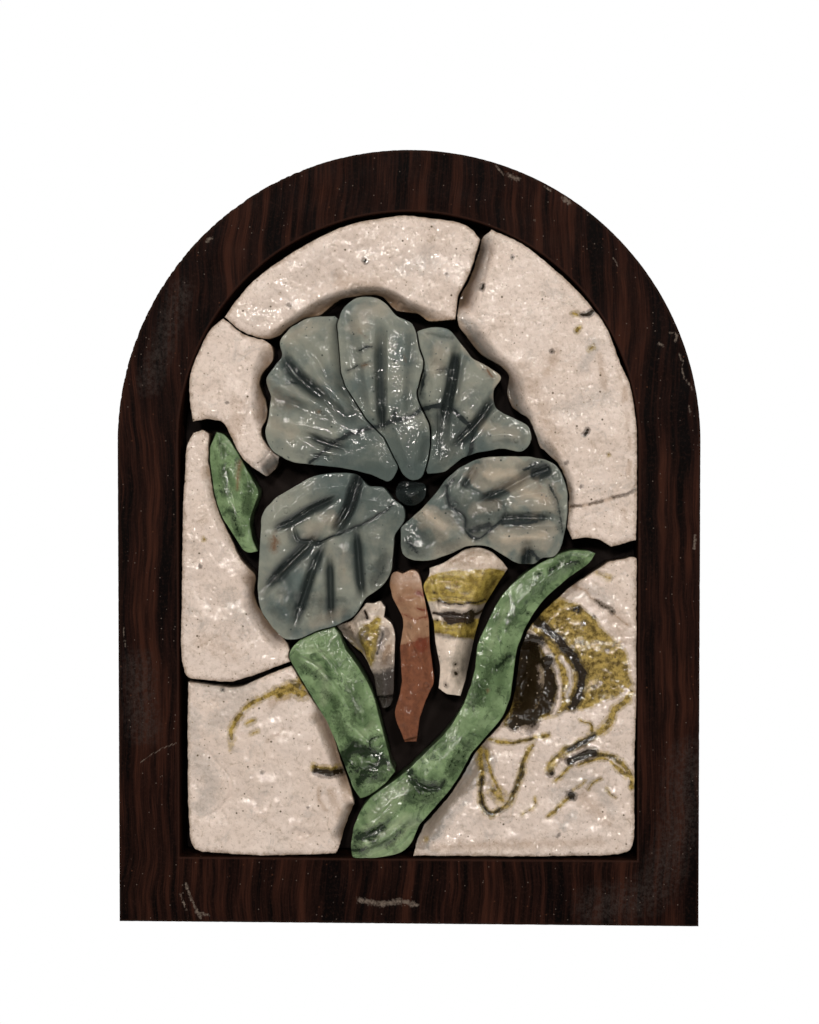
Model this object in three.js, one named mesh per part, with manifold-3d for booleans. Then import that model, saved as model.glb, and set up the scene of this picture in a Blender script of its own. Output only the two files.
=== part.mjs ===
// A small arched wall panel: thick pieces of cast opaque glass form a flower with leaves on a pale
// ground, set side by side on a board inside an arched wooden frame.
// Millimetres, +Z up, front towards -Y. The wall plane is y = 0, and the origin is the centre of the
// backing board's rear face.
import * as THREE from 'three';
import Module from 'manifold-3d';

const wasm = await Module();
wasm.setup();

// Boards
const panelWidth = 180;
const springingHeight = 149.3; // from the bottom edge up to where the arch begins
const sideRim = 19; // also the width of the rim round the arch
const bottomRim = 20.4;
const frameThickness = 16;
const backingThickness = 4;
const hangingHoleDiameter = 5;
const hangingHoleDrop = 11; // from the top of the arch down to the hole's centre

// Clearances
const glueLine = 0.3; // behind the frame and behind every stone
const stoneGap = 0.35; // the least joint between two stones
const wallGap = 0.3; // the least joint between a stone and the frame

// Heights of the stones' faces above the frame's face
const groundRise = -0.3;
const petalRise = 3.4;
const middlePetalRise = 4.6;
const throatRise = 2.6;
const longLeafRise = 3;
const lowerLeafRise = 2.2;
const leftLeafRise = 0.4;
const stemRise = 0.4;
const bandedRise = 0.6;
const marbledRise = -2.4;

// Rounded edges of the stones: how far the face drops at the edge, and over what width
const groundEdgeDrop = 0.9;
const groundEdgeWidth = 3;
const petalEdgeDrop = 2.6;
const petalEdgeWidth = 5;
const leafEdgeDrop = 2.6;
const leafEdgeWidth = 5.5;
const smallEdgeDrop = 1.8;
const smallEdgeWidth = 3.5;

// Size of the facets on the carved faces
const petalFacet = 2.8;
const leafFacet = 3.4;
const smallFacet = 3.2;
const groundFacet = 4.6;
const outlineTolerance = 0.2; // how far an outline's straight steps may leave its curve
const archSteps = 24; // steps in a quarter turn of the arches
const holeSteps = 8; // steps in half a turn of the hanging hole

// Worked out from the sizes above
const outerRadius = panelWidth / 2;
const panelHeight = springingHeight + outerRadius;
const openingRadius = outerRadius - sideRim;
const floorY = -(backingThickness + glueLine); // where the stones' backs sit
const frameFaceY = floorY - frameThickness;
const springingZ = springingHeight - panelHeight / 2;
const sillZ = bottomRim - panelHeight / 2;
const cutMargin = 10; // how far a cutting solid runs past what it cuts
const cutFrontY = frameFaceY - frameThickness; // in front of every stone

// The stones' outlines and carving are drawn in millimetres, x from the centre line and z from the
// panel's bottom edge. These drawn points are the opening's lower left corner and the right end of its
// springing line, and the drawing is stretched from them to the opening's own size.
const drawnOpening = [[-71, 20.4], [71, 149.3]];

function fromDrawing([x, z]) {
  const [[drawnLeft, drawnSill], [drawnRight, drawnSpringing]] = drawnOpening;
  const across = (2 * openingRadius) / (drawnRight - drawnLeft);
  const up = (springingZ - sillZ) / (drawnSpringing - drawnSill);
  const height = z > drawnSpringing
    ? springingZ + (z - drawnSpringing) * across
    : sillZ + (z - drawnSill) * up;
  return [x * across, height];
}

// Finishes
const finish = (color, roughness) => new THREE.MeshStandardMaterial({ color, roughness, metalness: 0 });
const frameWood = finish(0x33201a, 0.45);
const backingWood = finish(0x2a2020, 0.7);
const groundGlass = finish(0xe1d7cb, 0.25);
const petalGlass = finish(0x64736f, 0.2);
const leafGlass = finish(0x69966a, 0.2);
const stemGlass = finish(0xa06a4c, 0.3);
const bandedGlass = finish(0x9c8a50, 0.2);

// Solids

function solidOf(geometry) {
  const indexed = geometry.index ? geometry : null;
  const position = geometry.getAttribute('position');
  const keys = new Map();
  const vertices = [];
  const merged = [];
  const count = indexed ? indexed.index.count : position.count;
  for (let corner = 0; corner < count; corner += 1) {
    const at = indexed ? indexed.index.getX(corner) : corner;
    const point = [position.getX(at), position.getY(at), position.getZ(at)];
    const key = point.map((value) => Math.round(value * 1e5)).join();
    if (!keys.has(key)) {
      keys.set(key, vertices.length / 3);
      vertices.push(...point);
    }
    merged.push(keys.get(key));
  }
  const triangles = [];
  for (let corner = 0; corner < merged.length; corner += 3) {
    const [a, b, c] = merged.slice(corner, corner + 3);
    if (a !== b && b !== c && c !== a) triangles.push(a, b, c);
  }
  return new wasm.Manifold(new wasm.Mesh({
    numProp: 3,
    vertProperties: new Float32Array(vertices),
    triVerts: new Uint32Array(triangles),
  }));
}

function meshOf(name, solid, material) {
  const { vertProperties, triVerts } = solid.getMesh();
  const geometry = new THREE.BufferGeometry();
  geometry.setAttribute('position', new THREE.BufferAttribute(new Float32Array(vertProperties), 3));
  geometry.setIndex(new THREE.BufferAttribute(new Uint32Array(triVerts), 1));
  geometry.computeVertexNormals();
  const mesh = new THREE.Mesh(geometry, material);
  mesh.name = name;
  return mesh;
}

// A shape drawn in x and z, extruded from y = rear forwards to y = front
function slab(shape, rear, front) {
  const options = { depth: rear - front, bevelEnabled: false, curveSegments: archSteps };
  const geometry = new THREE.ExtrudeGeometry(shape, options);
  geometry.rotateX(Math.PI / 2);
  geometry.translate(0, rear, 0);
  return geometry;
}

// An upright rectangle with a half-round top
function archPath(target, radius, bottom) {
  target.moveTo(-radius, bottom);
  target.lineTo(radius, bottom);
  target.lineTo(radius, springingZ);
  target.absarc(0, springingZ, radius, 0, Math.PI, false);
  target.lineTo(-radius, bottom);
  return target;
}

function hangingHole() {
  const centre = panelHeight / 2 - hangingHoleDrop;
  return new THREE.Path().absarc(0, centre, hangingHoleDiameter / 2, 0, 2 * Math.PI, true);
}

function makeBacking() {
  const plate = slab(archPath(new THREE.Shape(), outerRadius, -panelHeight / 2), 0, -backingThickness);
  const hole = new THREE.Shape(hangingHole().getPoints(holeSteps));
  const drill = slab(hole, cutMargin, -backingThickness - cutMargin);
  return meshOf('backing_board', solidOf(plate).subtract(solidOf(drill)), backingWood);
}

function makeFrame() {
  const shape = archPath(new THREE.Shape(), outerRadius, -panelHeight / 2);
  shape.holes.push(archPath(new THREE.Path(), openingRadius, sillZ));
  return meshOf('frame_board', solidOf(slab(shape, floorY, frameFaceY)), frameWood);
}

// Outlines

const mitreLimit = 1.6;
const curveSteps = 8; // steps between two drawn points, before the straight ones are thinned out

// A closed outline from its drawn points. It runs smoothly through them, and a point whose third
// value is 1 is a corner.
function outlineOf(points) {
  const placed = points.map((point) => new THREE.Vector2(...fromDrawing(point)));
  const corners = points.flatMap((point, index) => (point[2] === 1 ? [index] : []));
  const runs = corners.length === 0
    ? [{ curve: smoothCurve(placed, true), spans: placed.length }]
    : corners.map((corner, index) => {
      const next = corners[(index + 1) % corners.length];
      const spans = ((next - corner + placed.length - 1) % placed.length) + 1;
      const run = Array.from({ length: spans + 1 }, (_, step) => placed[(corner + step) % placed.length]);
      return { curve: smoothCurve(run, false), spans };
    });
  return runs.flatMap(({ curve, spans }) => {
    const points = curve.getPoints(spans * curveSteps);
    return thinned(points.map(({ x, y }) => [x, y]));
  });
}

function smoothCurve(points, closed) {
  const flat = points.map(({ x, y }) => new THREE.Vector3(x, y, 0));
  return new THREE.CatmullRomCurve3(flat, closed, 'centripetal');
}

// The points that keep a run of straight steps within the tolerance, without its last point
function thinned(points) {
  const kept = [0];
  const keepBetween = (first, last) => {
    let farthest = outlineTolerance;
    let split = -1;
    for (let index = first + 1; index < last; index += 1) {
      const away = distanceToStep(points[index], points[first], points[last]);
      if (away > farthest) {
        farthest = away;
        split = index;
      }
    }
    if (split < 0) return;
    keepBetween(first, split);
    kept.push(split);
    keepBetween(split, last);
  };
  const middle = Math.floor(points.length / 2);
  keepBetween(0, middle);
  kept.push(middle);
  keepBetween(middle, points.length - 1);
  return kept.map((index) => points[index]);
}

function distanceToStep([x, z], [ax, az], [bx, bz]) {
  const length = (bx - ax) ** 2 + (bz - az) ** 2;
  const along = length > 0 ? ((x - ax) * (bx - ax) + (z - az) * (bz - az)) / length : 0;
  const share = Math.min(Math.max(along, 0), 1);
  return Math.hypot(x - ax - share * (bx - ax), z - az - share * (bz - az));
}

function distanceToPath(point, path) {
  let least = Infinity;
  for (let index = 1; index < path.length; index += 1) {
    least = Math.min(least, distanceToStep(point, path[index - 1], path[index]));
  }
  return least;
}

function isInside([x, z], outline) {
  let inside = false;
  outline.forEach(([ax, az], index) => {
    const [bx, bz] = outline[(index + 1) % outline.length];
    if (az > z !== bz > z && x < ax + ((z - az) / (bz - az)) * (bx - ax)) inside = !inside;
  });
  return inside;
}

function isCounterClockwise(outline) {
  const area = outline.reduce((sum, [ax, az], index) => {
    const [bx, bz] = outline[(index + 1) % outline.length];
    return sum + ax * bz - bx * az;
  }, 0);
  return area > 0;
}

// The outline moved outwards by a joint's width. A sharp corner moves at most mitreLimit times as far.
function grown(outline, width) {
  return outline.map(([x, z], index) => {
    const [px, pz] = outline[(index + outline.length - 1) % outline.length];
    const [nx, nz] = outline[(index + 1) % outline.length];
    const into = new THREE.Vector2(x - px, z - pz).normalize();
    const out = new THREE.Vector2(nx - x, nz - z).normalize();
    const normal = new THREE.Vector2(into.y + out.y, -into.x - out.x);
    const stretch = normal.length() * mitreLimit > 2 ? 2 / normal.length() : mitreLimit;
    normal.normalize().multiplyScalar(width * stretch);
    return [x + normal.x, z + normal.y];
  });
}

function prism(outline) {
  const shape = new THREE.Shape(outline.map(([x, z]) => new THREE.Vector2(x, z)));
  return solidOf(slab(shape, cutMargin, cutFrontY));
}

// Carved faces

const blockMargin = 1; // how far a carved block runs past its outline

// 1 on the line, 0 at the given width from it, with a soft round bottom
function fall(distance, width) {
  const share = Math.min(Math.max(distance, 0) / width, 1);
  return (1 - share * share) ** 2;
}

// How far a stone's face stands above the frame's face
function faceHeight(stone, point) {
  const edge = isInside(point, stone.outline) ? distanceToPath(point, stone.closed) : 0;
  let height = stone.rise - stone.edgeDrop * fall(edge, stone.edgeWidth);
  for (const cut of stone.cuts) height -= cut.depth * fall(distanceToPath(point, cut.path), cut.width);
  return height;
}

// A block whose front is the stone's carved face, on a square grid, and whose back is flat
function carvedBlock(stone) {
  const xs = stone.outline.map(([x]) => x);
  const zs = stone.outline.map(([, z]) => z);
  const lowX = Math.min(...xs) - blockMargin;
  const lowZ = Math.min(...zs) - blockMargin;
  const columns = Math.ceil((Math.max(...xs) + blockMargin - lowX) / stone.facet);
  const rows = Math.ceil((Math.max(...zs) + blockMargin - lowZ) / stone.facet);
  const vertices = [];
  const front = (column, row) => row * (columns + 1) + column;
  for (let row = 0; row <= rows; row += 1) {
    for (let column = 0; column <= columns; column += 1) {
      const point = [lowX + column * stone.facet, lowZ + row * stone.facet];
      vertices.push(point[0], frameFaceY - faceHeight(stone, point), point[1]);
    }
  }
  const triangles = [];
  for (let row = 0; row < rows; row += 1) {
    for (let column = 0; column < columns; column += 1) {
      const [a, b] = [front(column, row), front(column + 1, row)];
      const [c, d] = [front(column, row + 1), front(column + 1, row + 1)];
      triangles.push(a, b, d, a, d, c);
    }
  }
  const rim = [];
  for (let column = 0; column < columns; column += 1) rim.push(front(column, 0));
  for (let row = 0; row < rows; row += 1) rim.push(front(columns, row));
  for (let column = columns; column > 0; column -= 1) rim.push(front(column, rows));
  for (let row = rows; row > 0; row -= 1) rim.push(front(0, row));
  const back = vertices.length / 3;
  for (const index of rim) vertices.push(vertices[3 * index], floorY, vertices[3 * index + 2]);
  const middle = vertices.length / 3;
  vertices.push(lowX + (columns * stone.facet) / 2, floorY, lowZ + (rows * stone.facet) / 2);
  rim.forEach((index, step) => {
    const next = (step + 1) % rim.length;
    triangles.push(rim[next], index, back + step, rim[next], back + step, back + next);
    triangles.push(back + next, back + step, middle);
  });
  const geometry = new THREE.BufferGeometry();
  geometry.setAttribute('position', new THREE.Float32BufferAttribute(vertices, 3));
  geometry.setIndex(triangles);
  return solidOf(geometry);
}

// A stone is drawn as its outline and its cuts. A cut is a path with a depth and a half width.
function drawStone({ name, material, rise, edge, facet, outline, cuts = [] }) {
  const drawn = outlineOf(outline);
  const turned = isCounterClockwise(drawn) ? drawn : drawn.reverse();
  return {
    name,
    material,
    rise,
    facet,
    edgeDrop: edge.drop,
    edgeWidth: edge.width,
    outline: turned,
    closed: [...turned, turned[0]],
    cuts: cuts.map(([depth, width, ...path]) => ({ depth, width, path: path.map(fromDrawing) })),
  };
}

const groundEdge = { drop: groundEdgeDrop, width: groundEdgeWidth };
const petalEdge = { drop: petalEdgeDrop, width: petalEdgeWidth };
const leafEdge = { drop: leafEdgeDrop, width: leafEdgeWidth };
const smallEdge = { drop: smallEdgeDrop, width: smallEdgeWidth };

const petal = { material: petalGlass, rise: petalRise, edge: petalEdge, facet: petalFacet };
const leaf = { material: leafGlass, edge: leafEdge, facet: leafFacet };
const small = { edge: smallEdge, facet: smallFacet };
const ground = { material: groundGlass, rise: groundRise, edge: groundEdge, facet: groundFacet };

// The stones, from the one that keeps its whole outline to the ones that are cut back to it
const stones = [
  {
    ...petal,
    name: 'petal_upper_middle',
    rise: middlePetalRise,
    outline: [
      [-21.4, 185.6, 1], [-19.8, 190], [-15.8, 193.5], [-10, 193.8], [-6.7, 192.1], [-3.3, 188.3],
      [1.3, 186], [2.8, 183], [3.6, 178.5], [5, 174], [4.2, 169.6], [2.9, 164.6], [4.4, 159.6],
      [6.6, 155.2], [7.1, 149.4], [6.1, 143], [4.2, 138.5], [1.3, 137.9], [-1.5, 140.1],
      [-4.6, 146.7], [-7.2, 151.4], [-11.3, 155.3], [-15.6, 161.4], [-19.6, 168.4], [-20.6, 175],
    ],
    cuts: [
      [1.7, 4, [-9, 182], [-7.4, 168], [-6.6, 154]],
      [1.1, 3, [-17.4, 186], [-15, 172], [-12, 163]],
      [1, 2.6, [1.4, 182], [0.4, 170], [0, 158]],
    ],
  },
  {
    ...petal,
    name: 'petal_upper_left',
    outline: [
      [-22.2, 188.2, 1], [-30, 187.7], [-35.7, 184.8], [-39.1, 180.5], [-38.6, 176.2], [-41.3, 172],
      [-43.3, 169], [-42, 163.3], [-42.7, 157], [-43.7, 152.7], [-41.8, 147.3], [-36.1, 143.7],
      [-29.8, 142.6], [-19.5, 141.5], [-11, 139.5], [-5.6, 137.4], [-3.2, 140.5, 1], [-2, 147],
      [-8, 158], [-15, 170], [-18, 184],
    ],
    cuts: [
      [2.6, 4, [-37.6, 175.2], [-33.3, 169.1], [-27, 164], [-18, 157.2]],
      [1.7, 3.4, [-40.6, 156.6], [-35, 154], [-30, 151.7], [-19, 147.7]],
      [1.4, 4, [-22, 188], [-21.6, 174], [-18, 163]],
    ],
  },
  {
    ...petal,
    name: 'petal_upper_right',
    outline: [
      [3.3, 183.5, 1], [7.5, 184.7], [12.7, 184], [16.2, 180], [20.1, 175.2], [25.2, 172.4],
      [28.8, 169.3], [26.7, 165.7], [27.3, 160.1], [32.2, 157.1], [37.2, 154.2], [38, 149.8],
      [35.2, 146.7], [29.2, 147.5], [22.7, 146.5], [16.9, 144.6], [11.9, 140.6], [6.3, 139.8, 1],
      [3, 147], [3, 155], [0, 163], [2, 172], [1, 180],
    ],
    cuts: [
      [1.9, 3, [15.1, 174.5], [13.1, 167.4], [12.1, 160.7], [10.7, 152.4]],
      [1.9, 3, [26.4, 161.6], [23.1, 157], [19.1, 152.4], [14.4, 148.3]],
      [1.2, 2.6, [8.6, 174], [8.4, 166], [9.2, 150]],
    ],
  },
  {
    ...petal,
    name: 'petal_lower_left',
    outline: [
      [-15.2, 139.4], [-22.2, 140.1], [-29.4, 138.8], [-35.6, 135.4], [-41, 132], [-44.7, 127.1],
      [-45.3, 119.5], [-46, 110.5], [-46.1, 102.4], [-44.6, 96.6], [-41, 91.7], [-37.4, 88.7],
      [-32.9, 89], [-27.6, 91.4], [-21.3, 93.2], [-16.3, 96.1], [-12.7, 101.5], [-7.8, 105.1],
      [-5.1, 109.2], [-4.3, 115], [-3.8, 120.8], [-0.9, 125.3], [-1.1, 129.4], [-4.4, 132.2],
      [-7.4, 135.6], [-11.8, 136.1],
    ],
    cuts: [
      [2.6, 3, [-14, 138.5], [-18, 131], [-22, 123]],
      [1.4, 3, [-21.3, 133.2], [-32, 128.5], [-40.6, 123.5]],
      [2.2, 4, [-27.6, 120.4], [-32.9, 115], [-44, 105]],
      [1.7, 3, [-25, 118], [-30.7, 105.1], [-36, 90.3]],
      [1.3, 2.6, [-23.5, 118.6], [-23.1, 95.2]],
      [1.5, 3, [-15.4, 124], [-14.7, 112], [-13.2, 103.3]],
    ],
  },
  {
    ...petal,
    name: 'petal_lower_right',
    outline: [
      [-1.9, 123.3, 1], [3.5, 128.1], [8.5, 133.5], [11.9, 138.1], [16.5, 141.9], [22.7, 144.6],
      [30, 145.2], [39.6, 144.8], [45.6, 142.4], [49, 135], [49, 125.5], [46.9, 116.6],
      [45, 114.4, 1], [41.4, 113.9], [39.3, 112.3], [34.1, 112.3], [29.5, 115], [24.6, 117.5],
      [18.5, 117.5], [13.8, 115.4], [7.7, 113.3], [1.5, 113.3], [-1.4, 115.4],
    ],
    cuts: [
      [1.3, 2.6, [21.9, 142.3], [17, 136.2]],
      [2.2, 3, [21.9, 131.5], [29.6, 135.4], [37.7, 139.6], [43, 141.6]],
      [2, 3, [27, 126.4], [43.6, 126.4]],
      [1.8, 2.8, [36.8, 117], [36.4, 111.6]],
      [1.2, 3, [11.9, 133], [16.9, 126.2], [21.9, 120.4]],
    ],
  },
  {
    ...small,
    name: 'flower_throat',
    material: petalGlass,
    rise: throatRise,
    outline: [
      [-2.6, 137], [2, 137.3], [5.4, 136.4], [5.4, 132.6], [2.6, 130.1], [-0.8, 130.2],
      [-3.6, 133],
    ],
  },
  {
    ...leaf,
    name: 'leaf_long',
    rise: longLeafRise,
    outline: [
      [57.9, 115.4, 1], [55.4, 116.2], [50, 116.2], [42.3, 113.1], [35.4, 108.5], [29.2, 102.3],
      [25, 94.6], [21.7, 86.9], [21.2, 81.5], [20, 75.8], [16.9, 67.7], [12.1, 60.1], [5.9, 54],
      [0.3, 48.3], [-4.9, 44.2], [-10.5, 40.4], [-14.1, 36], [-16.6, 30.4], [-17.4, 23.2],
      [-16.6, 20.8], [-14, 20.5], [-7.9, 21], [-1.3, 22.9], [1.5, 26], [3.3, 30.4], [7.9, 36],
      [12.1, 40.6], [16, 46.2], [20, 53.7], [25.8, 60.4], [29.2, 64.6], [31.6, 70], [32.8, 78],
      [33.8, 85.4], [36.5, 92.7], [41.2, 100], [46.2, 105], [50.8, 108.8], [55.8, 112.3],
    ],
    cuts: [
      [1.5, 3, [-14.5, 27], [-8, 29.6], [0, 32.6]],
      [1, 2.4, [-12, 22], [-4, 26.5], [2, 33]],
      [1.2, 3, [1, 47.5], [5.5, 43.5], [12, 43]],
    ],
  },
  {
    ...leaf,
    name: 'leaf_lower_left',
    rise: lowerLeafRise,
    outline: [
      [-22.6, 92.4, 1], [-21.3, 90.6], [-19, 85.3], [-14.6, 79.1], [-11, 72.4], [-9, 65.8],
      [-7.2, 59.1], [-5.9, 54], [-4.9, 49.9], [-3.8, 47.6, 1], [-6.9, 43.8], [-12.3, 39.9],
      [-14.6, 39.1, 1], [-16.4, 41.6], [-19.5, 49.6], [-22.3, 57], [-25.4, 63.8], [-29.8, 70.9],
      [-33.8, 77.6], [-36, 81.5], [-36.6, 83.8], [-35, 86.8], [-31, 89.9], [-27.2, 91.8],
    ],
    cuts: [
      [1.1, 3, [-33, 84], [-26, 74], [-19, 62]],
      [1.4, 3, [-18, 50], [-13, 53], [-8, 52]],
    ],
  },
  {
    ...leaf,
    name: 'leaf_left',
    rise: leftLeafRise,
    outline: [
      [-59.3, 152.8, 1], [-61.3, 148], [-61.2, 141.3], [-59.8, 132.7], [-57.3, 125.7],
      [-54, 120.3], [-50.7, 115.8], [-48.5, 115.2], [-46.5, 115.7, 1], [-48.3, 120], [-49, 125.3],
      [-47.3, 130.3], [-46.3, 134], [-48.7, 138.7], [-51.3, 143.7], [-54, 148.3], [-57, 152],
    ],
    cuts: [
      [0.9, 2.4, [-57.5, 150], [-55.5, 138], [-52, 124]],
    ],
  },
  {
    ...small,
    name: 'stem_terracotta',
    material: stemGlass,
    rise: stemRise,
    outline: [
      [1.2, 110.1], [2.9, 109.6], [3.9, 107.8], [5.4, 101.5], [6.8, 93], [6.9, 87.3], [7.9, 79.1],
      [8.2, 75.5], [5.4, 68.8], [3.5, 62.5], [2.8, 56.5, 1], [-0.8, 56.5, 1], [-1.8, 59.1],
      [-3.9, 65.3], [-2.3, 71.9], [-1.7, 77], [-2.3, 86], [-1.4, 94.5], [-4.2, 100.4],
      [-5.5, 105], [-4.8, 108.8], [-3.3, 109.6], [-1.5, 108.9],
    ],
    cuts: [
      [1.6, 6, [2, 54], [1, 58]],
      [1, 4, [0, 108], [1.4, 101]],
    ],
  },
  {
    ...small,
    name: 'stone_banded',
    material: bandedGlass,
    rise: bandedRise,
    outline: [
      [6.8, 110.6, 1], [11.2, 112.3], [17.3, 116.2], [21.5, 117.1], [25.8, 115.8], [30, 112],
      [31, 110.5, 1], [27.5, 105], [23.6, 98.2], [21, 90], [19.4, 82.5], [17.5, 74],
      [16.4, 71, 1], [12.3, 71.6], [9.6, 73.4, 1], [10.1, 79.6], [8.7, 87.3], [7.9, 95],
      [5.8, 101.5], [4.9, 105], [6.8, 108.8],
    ],
    cuts: [
      [6, 6, [31.5, 111], [27.5, 104], [22.5, 93], [20, 84], [17.5, 70]],
      [1.4, 3, [9, 96], [20, 95.6]],
    ],
  },
  {
    ...small,
    name: 'stone_marbled',
    material: bandedGlass,
    rise: marbledRise,
    outline: [
      [-13, 99.6, 1], [-10.2, 99.6], [-8.6, 100.3], [-7, 98.2, 1], [-7.4, 95.2], [-5.4, 93.7],
      [-4.1, 90.4], [-3.9, 87.3], [-4.2, 80], [-4.6, 70.1], [-5.8, 67], [-7.9, 66.2],
      [-9.5, 70.1], [-10.5, 76.5], [-13.6, 82.9], [-17.4, 86.2], [-23.1, 92.1, 1], [-17.2, 94.4],
      [-14.6, 97.8],
    ],
    cuts: [
      [5, 12, [-6.5, 64], [-7, 72]],
      [3, 4, [-22, 92], [-17.5, 88], [-13.5, 82]],
    ],
  },
  {
    ...ground,
    name: 'ground_top',
    outline: [
      [-56.6, 188.2, 1], [-51.3, 183.8], [-46, 181.8], [-41.3, 181.8], [-36.7, 185.3], [-32, 188],
      [-27.5, 188.8], [-21.7, 193.3], [-15.8, 194.8], [-8.3, 194.7], [-3.3, 190.2], [2.9, 189.3],
      [6.3, 187], [14.8, 187.3, 1], [15.3, 190.6], [15.8, 194.8], [18.3, 199.4], [20.8, 205.8],
      [22.4, 211.8, 1], [19.7, 215.1], [15, 217.3], [8.3, 218.1], [-0.8, 219.3], [-10, 218.3],
      [-20, 215.9], [-30, 211.3], [-39, 205.8], [-47.2, 199.8], [-53.3, 193],
    ],
    cuts: [
      [4.4, 5, [-50, 182], [-41.3, 181], [-32, 187], [-21.7, 192.5], [-8.3, 194], [2.9, 188.5], [14, 186]],
      [1.3, 9, [-36, 193], [-24, 200], [-14, 202]],
    ],
  },
  {
    ...ground,
    name: 'ground_upper_right',
    outline: [
      [25.9, 214.8, 1], [22.9, 212.2], [22, 208.6], [19.7, 203.5], [18.5, 199.4], [16, 194.5],
      [15.6, 190.6], [15.5, 186], [18.8, 181.4], [22.5, 176.8], [27.5, 173.8], [31.2, 170.3],
      [30.7, 165.4], [32.6, 160.1], [37.2, 156.9], [39.3, 152.3], [40.8, 148.2], [46.8, 142.4],
      [49.9, 133], [49.2, 123], [50.8, 119.6, 1], [56, 120], [59.5, 119.2], [62.9, 117.2, 1],
      [66.5, 118.3], [70.4, 119.4, 1], [71, 130], [71.2, 154.6], [69.6, 164.5], [65.6, 173.5],
      [60.8, 185.5], [53.9, 194.3], [45.1, 202.8], [34.9, 210.7],
    ],
    cuts: [
      [5, 7.5, [24, 213], [19, 201], [15.6, 188]],
      [5, 6.5, [15.6, 187], [24, 175], [31, 168], [33, 159], [39, 152.5]],
      [2.6, 4, [39, 152], [44, 144.5], [48, 138], [49.6, 126]],
    ],
  },
  {
    ...ground,
    name: 'ground_upper_left',
    outline: [
      [-57, 187.8, 1], [-54.7, 186], [-50, 183.2], [-44.7, 181.3], [-41.8, 179], [-41.9, 175],
      [-45.3, 170.7], [-46, 167.8], [-44, 161.7], [-43.7, 158], [-45.3, 152.5], [-42.7, 147.7],
      [-39.6, 145.2, 1], [-41, 141.7], [-43.7, 138.9, 1], [-46.7, 140.7], [-50.7, 144],
      [-53.3, 148], [-55.2, 152.5], [-57.7, 155.8], [-62, 156.7], [-66.5, 155.9, 1],
      [-67.5, 161.7], [-67.5, 169.3], [-65, 177.7], [-60.7, 184.8],
    ],
    cuts: [
      [4, 5.5, [-41.5, 179], [-44.5, 170], [-44.5, 160], [-44, 152]],
      [5.5, 7, [-40, 143], [-44.5, 139]],
    ],
  },
  {
    ...ground,
    name: 'ground_left',
    outline: [
      [-66.5, 152.5, 1], [-63.4, 153.4], [-61.5, 152.2, 1], [-61.7, 146], [-61.1, 138],
      [-59.1, 129], [-56, 122], [-51.7, 113.3], [-47.6, 108.2], [-48, 102.5], [-45.1, 95.7],
      [-41, 90.8], [-37.3, 87], [-36, 81.6, 1], [-42.9, 79], [-49.2, 76.6], [-55.5, 75],
      [-63.4, 75.8], [-68.2, 76.4], [-69.9, 79.5], [-70.3, 105.3], [-69.9, 125.3],
      [-69.3, 138.7], [-68.4, 148.5],
    ],
    cuts: [
      [4.2, 5.5, [-50.5, 111.5], [-47, 105], [-46.5, 98], [-41, 90], [-36, 85]],
      [1.8, 3.5, [-61, 146], [-60.5, 136], [-56, 122], [-51, 113]],
    ],
  },
  {
    ...ground,
    name: 'ground_lower_left',
    outline: [
      [-68.3, 75.1, 1], [-60, 74], [-53.5, 73.4], [-47, 75.8], [-41, 78.4], [-36, 80.2, 1],
      [-32.5, 75.5], [-29, 69.5], [-25.8, 64], [-23.1, 57.7], [-20.3, 48.6], [-17.5, 41.4],
      [-16.5, 37.5, 1], [-17.9, 33.9], [-19.9, 28.7], [-21.3, 23.5], [-22.3, 21.7, 1],
      [-31.8, 21.2], [-45, 20.8], [-55, 21.4], [-65.6, 22.3], [-67.4, 24.5], [-68.4, 34],
      [-68.6, 55], [-68.5, 68],
    ],
    cuts: [
      [3.6, 3.4, [-30, 69], [-25.5, 61], [-21, 49], [-17, 39]],
      [4.4, 4.4, [-16, 38], [-19.5, 29], [-21.5, 24]],
    ],
  },
  {
    ...ground,
    name: 'ground_lower_right',
    outline: [
      [1.8, 21.2, 1], [2.8, 25.8], [5.5, 31], [9.5, 35.5], [13, 39.6], [16.5, 45], [20.3, 52],
      [25, 58.1], [28, 61.2], [31.6, 66.5], [33.3, 72], [34.2, 79], [35.2, 86], [37.8, 92.6],
      [41, 96.3], [45, 100], [50, 104.6], [55.4, 108.5], [60, 111.3], [61.5, 112.5],
      [67.3, 113.8], [69.8, 114.3], [71.2, 112.9], [71.2, 93], [71, 77], [70.6, 62], [70.2, 50],
      [70.3, 33], [70, 26.9], [68.8, 23.4], [64.2, 21.9], [50, 21.5], [31, 21.1],
    ],
    cuts: [
      [6.5, 7.5, [37, 89], [36.5, 82], [35, 74], [31.5, 66]],
      [2.4, 5.5, [42, 82], [42.5, 74], [38, 67]],
      [2.6, 4.5, [2, 23], [8, 34], [16, 43], [22, 53], [28, 61]],
      [2.6, 4.5, [38, 93], [45, 100], [54, 107]],
    ],
  },
].map(drawStone);

// Each stone inside the opening, and clear of the stones before it
function makeStones() {
  const opening = solidOf(slab(
    archPath(new THREE.Shape(), openingRadius - wallGap, sillZ + wallGap),
    cutMargin,
    cutFrontY,
  ));
  return stones.map((stone, index) => {
    let solid = carvedBlock(stone).intersect(prism(stone.outline)).intersect(opening);
    for (const earlier of stones.slice(0, index)) {
      solid = solid.subtract(prism(grown(earlier.outline, stoneGap)));
    }
    return meshOf(stone.name, solid, stone.material);
  });
}

const panel = new THREE.Group();
panel.name = 'mosaic_panel';
panel.add(makeBacking(), makeFrame(), ...makeStones());

export default panel;
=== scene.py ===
"""Looks of the mosaic panel: a flower of cast glass stones in an arched wooden frame."""

import math

import bpy
import numpy as np
from mathutils import Matrix, Vector, kdtree
from mathutils.geometry import delaunay_2d_cdt


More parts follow.
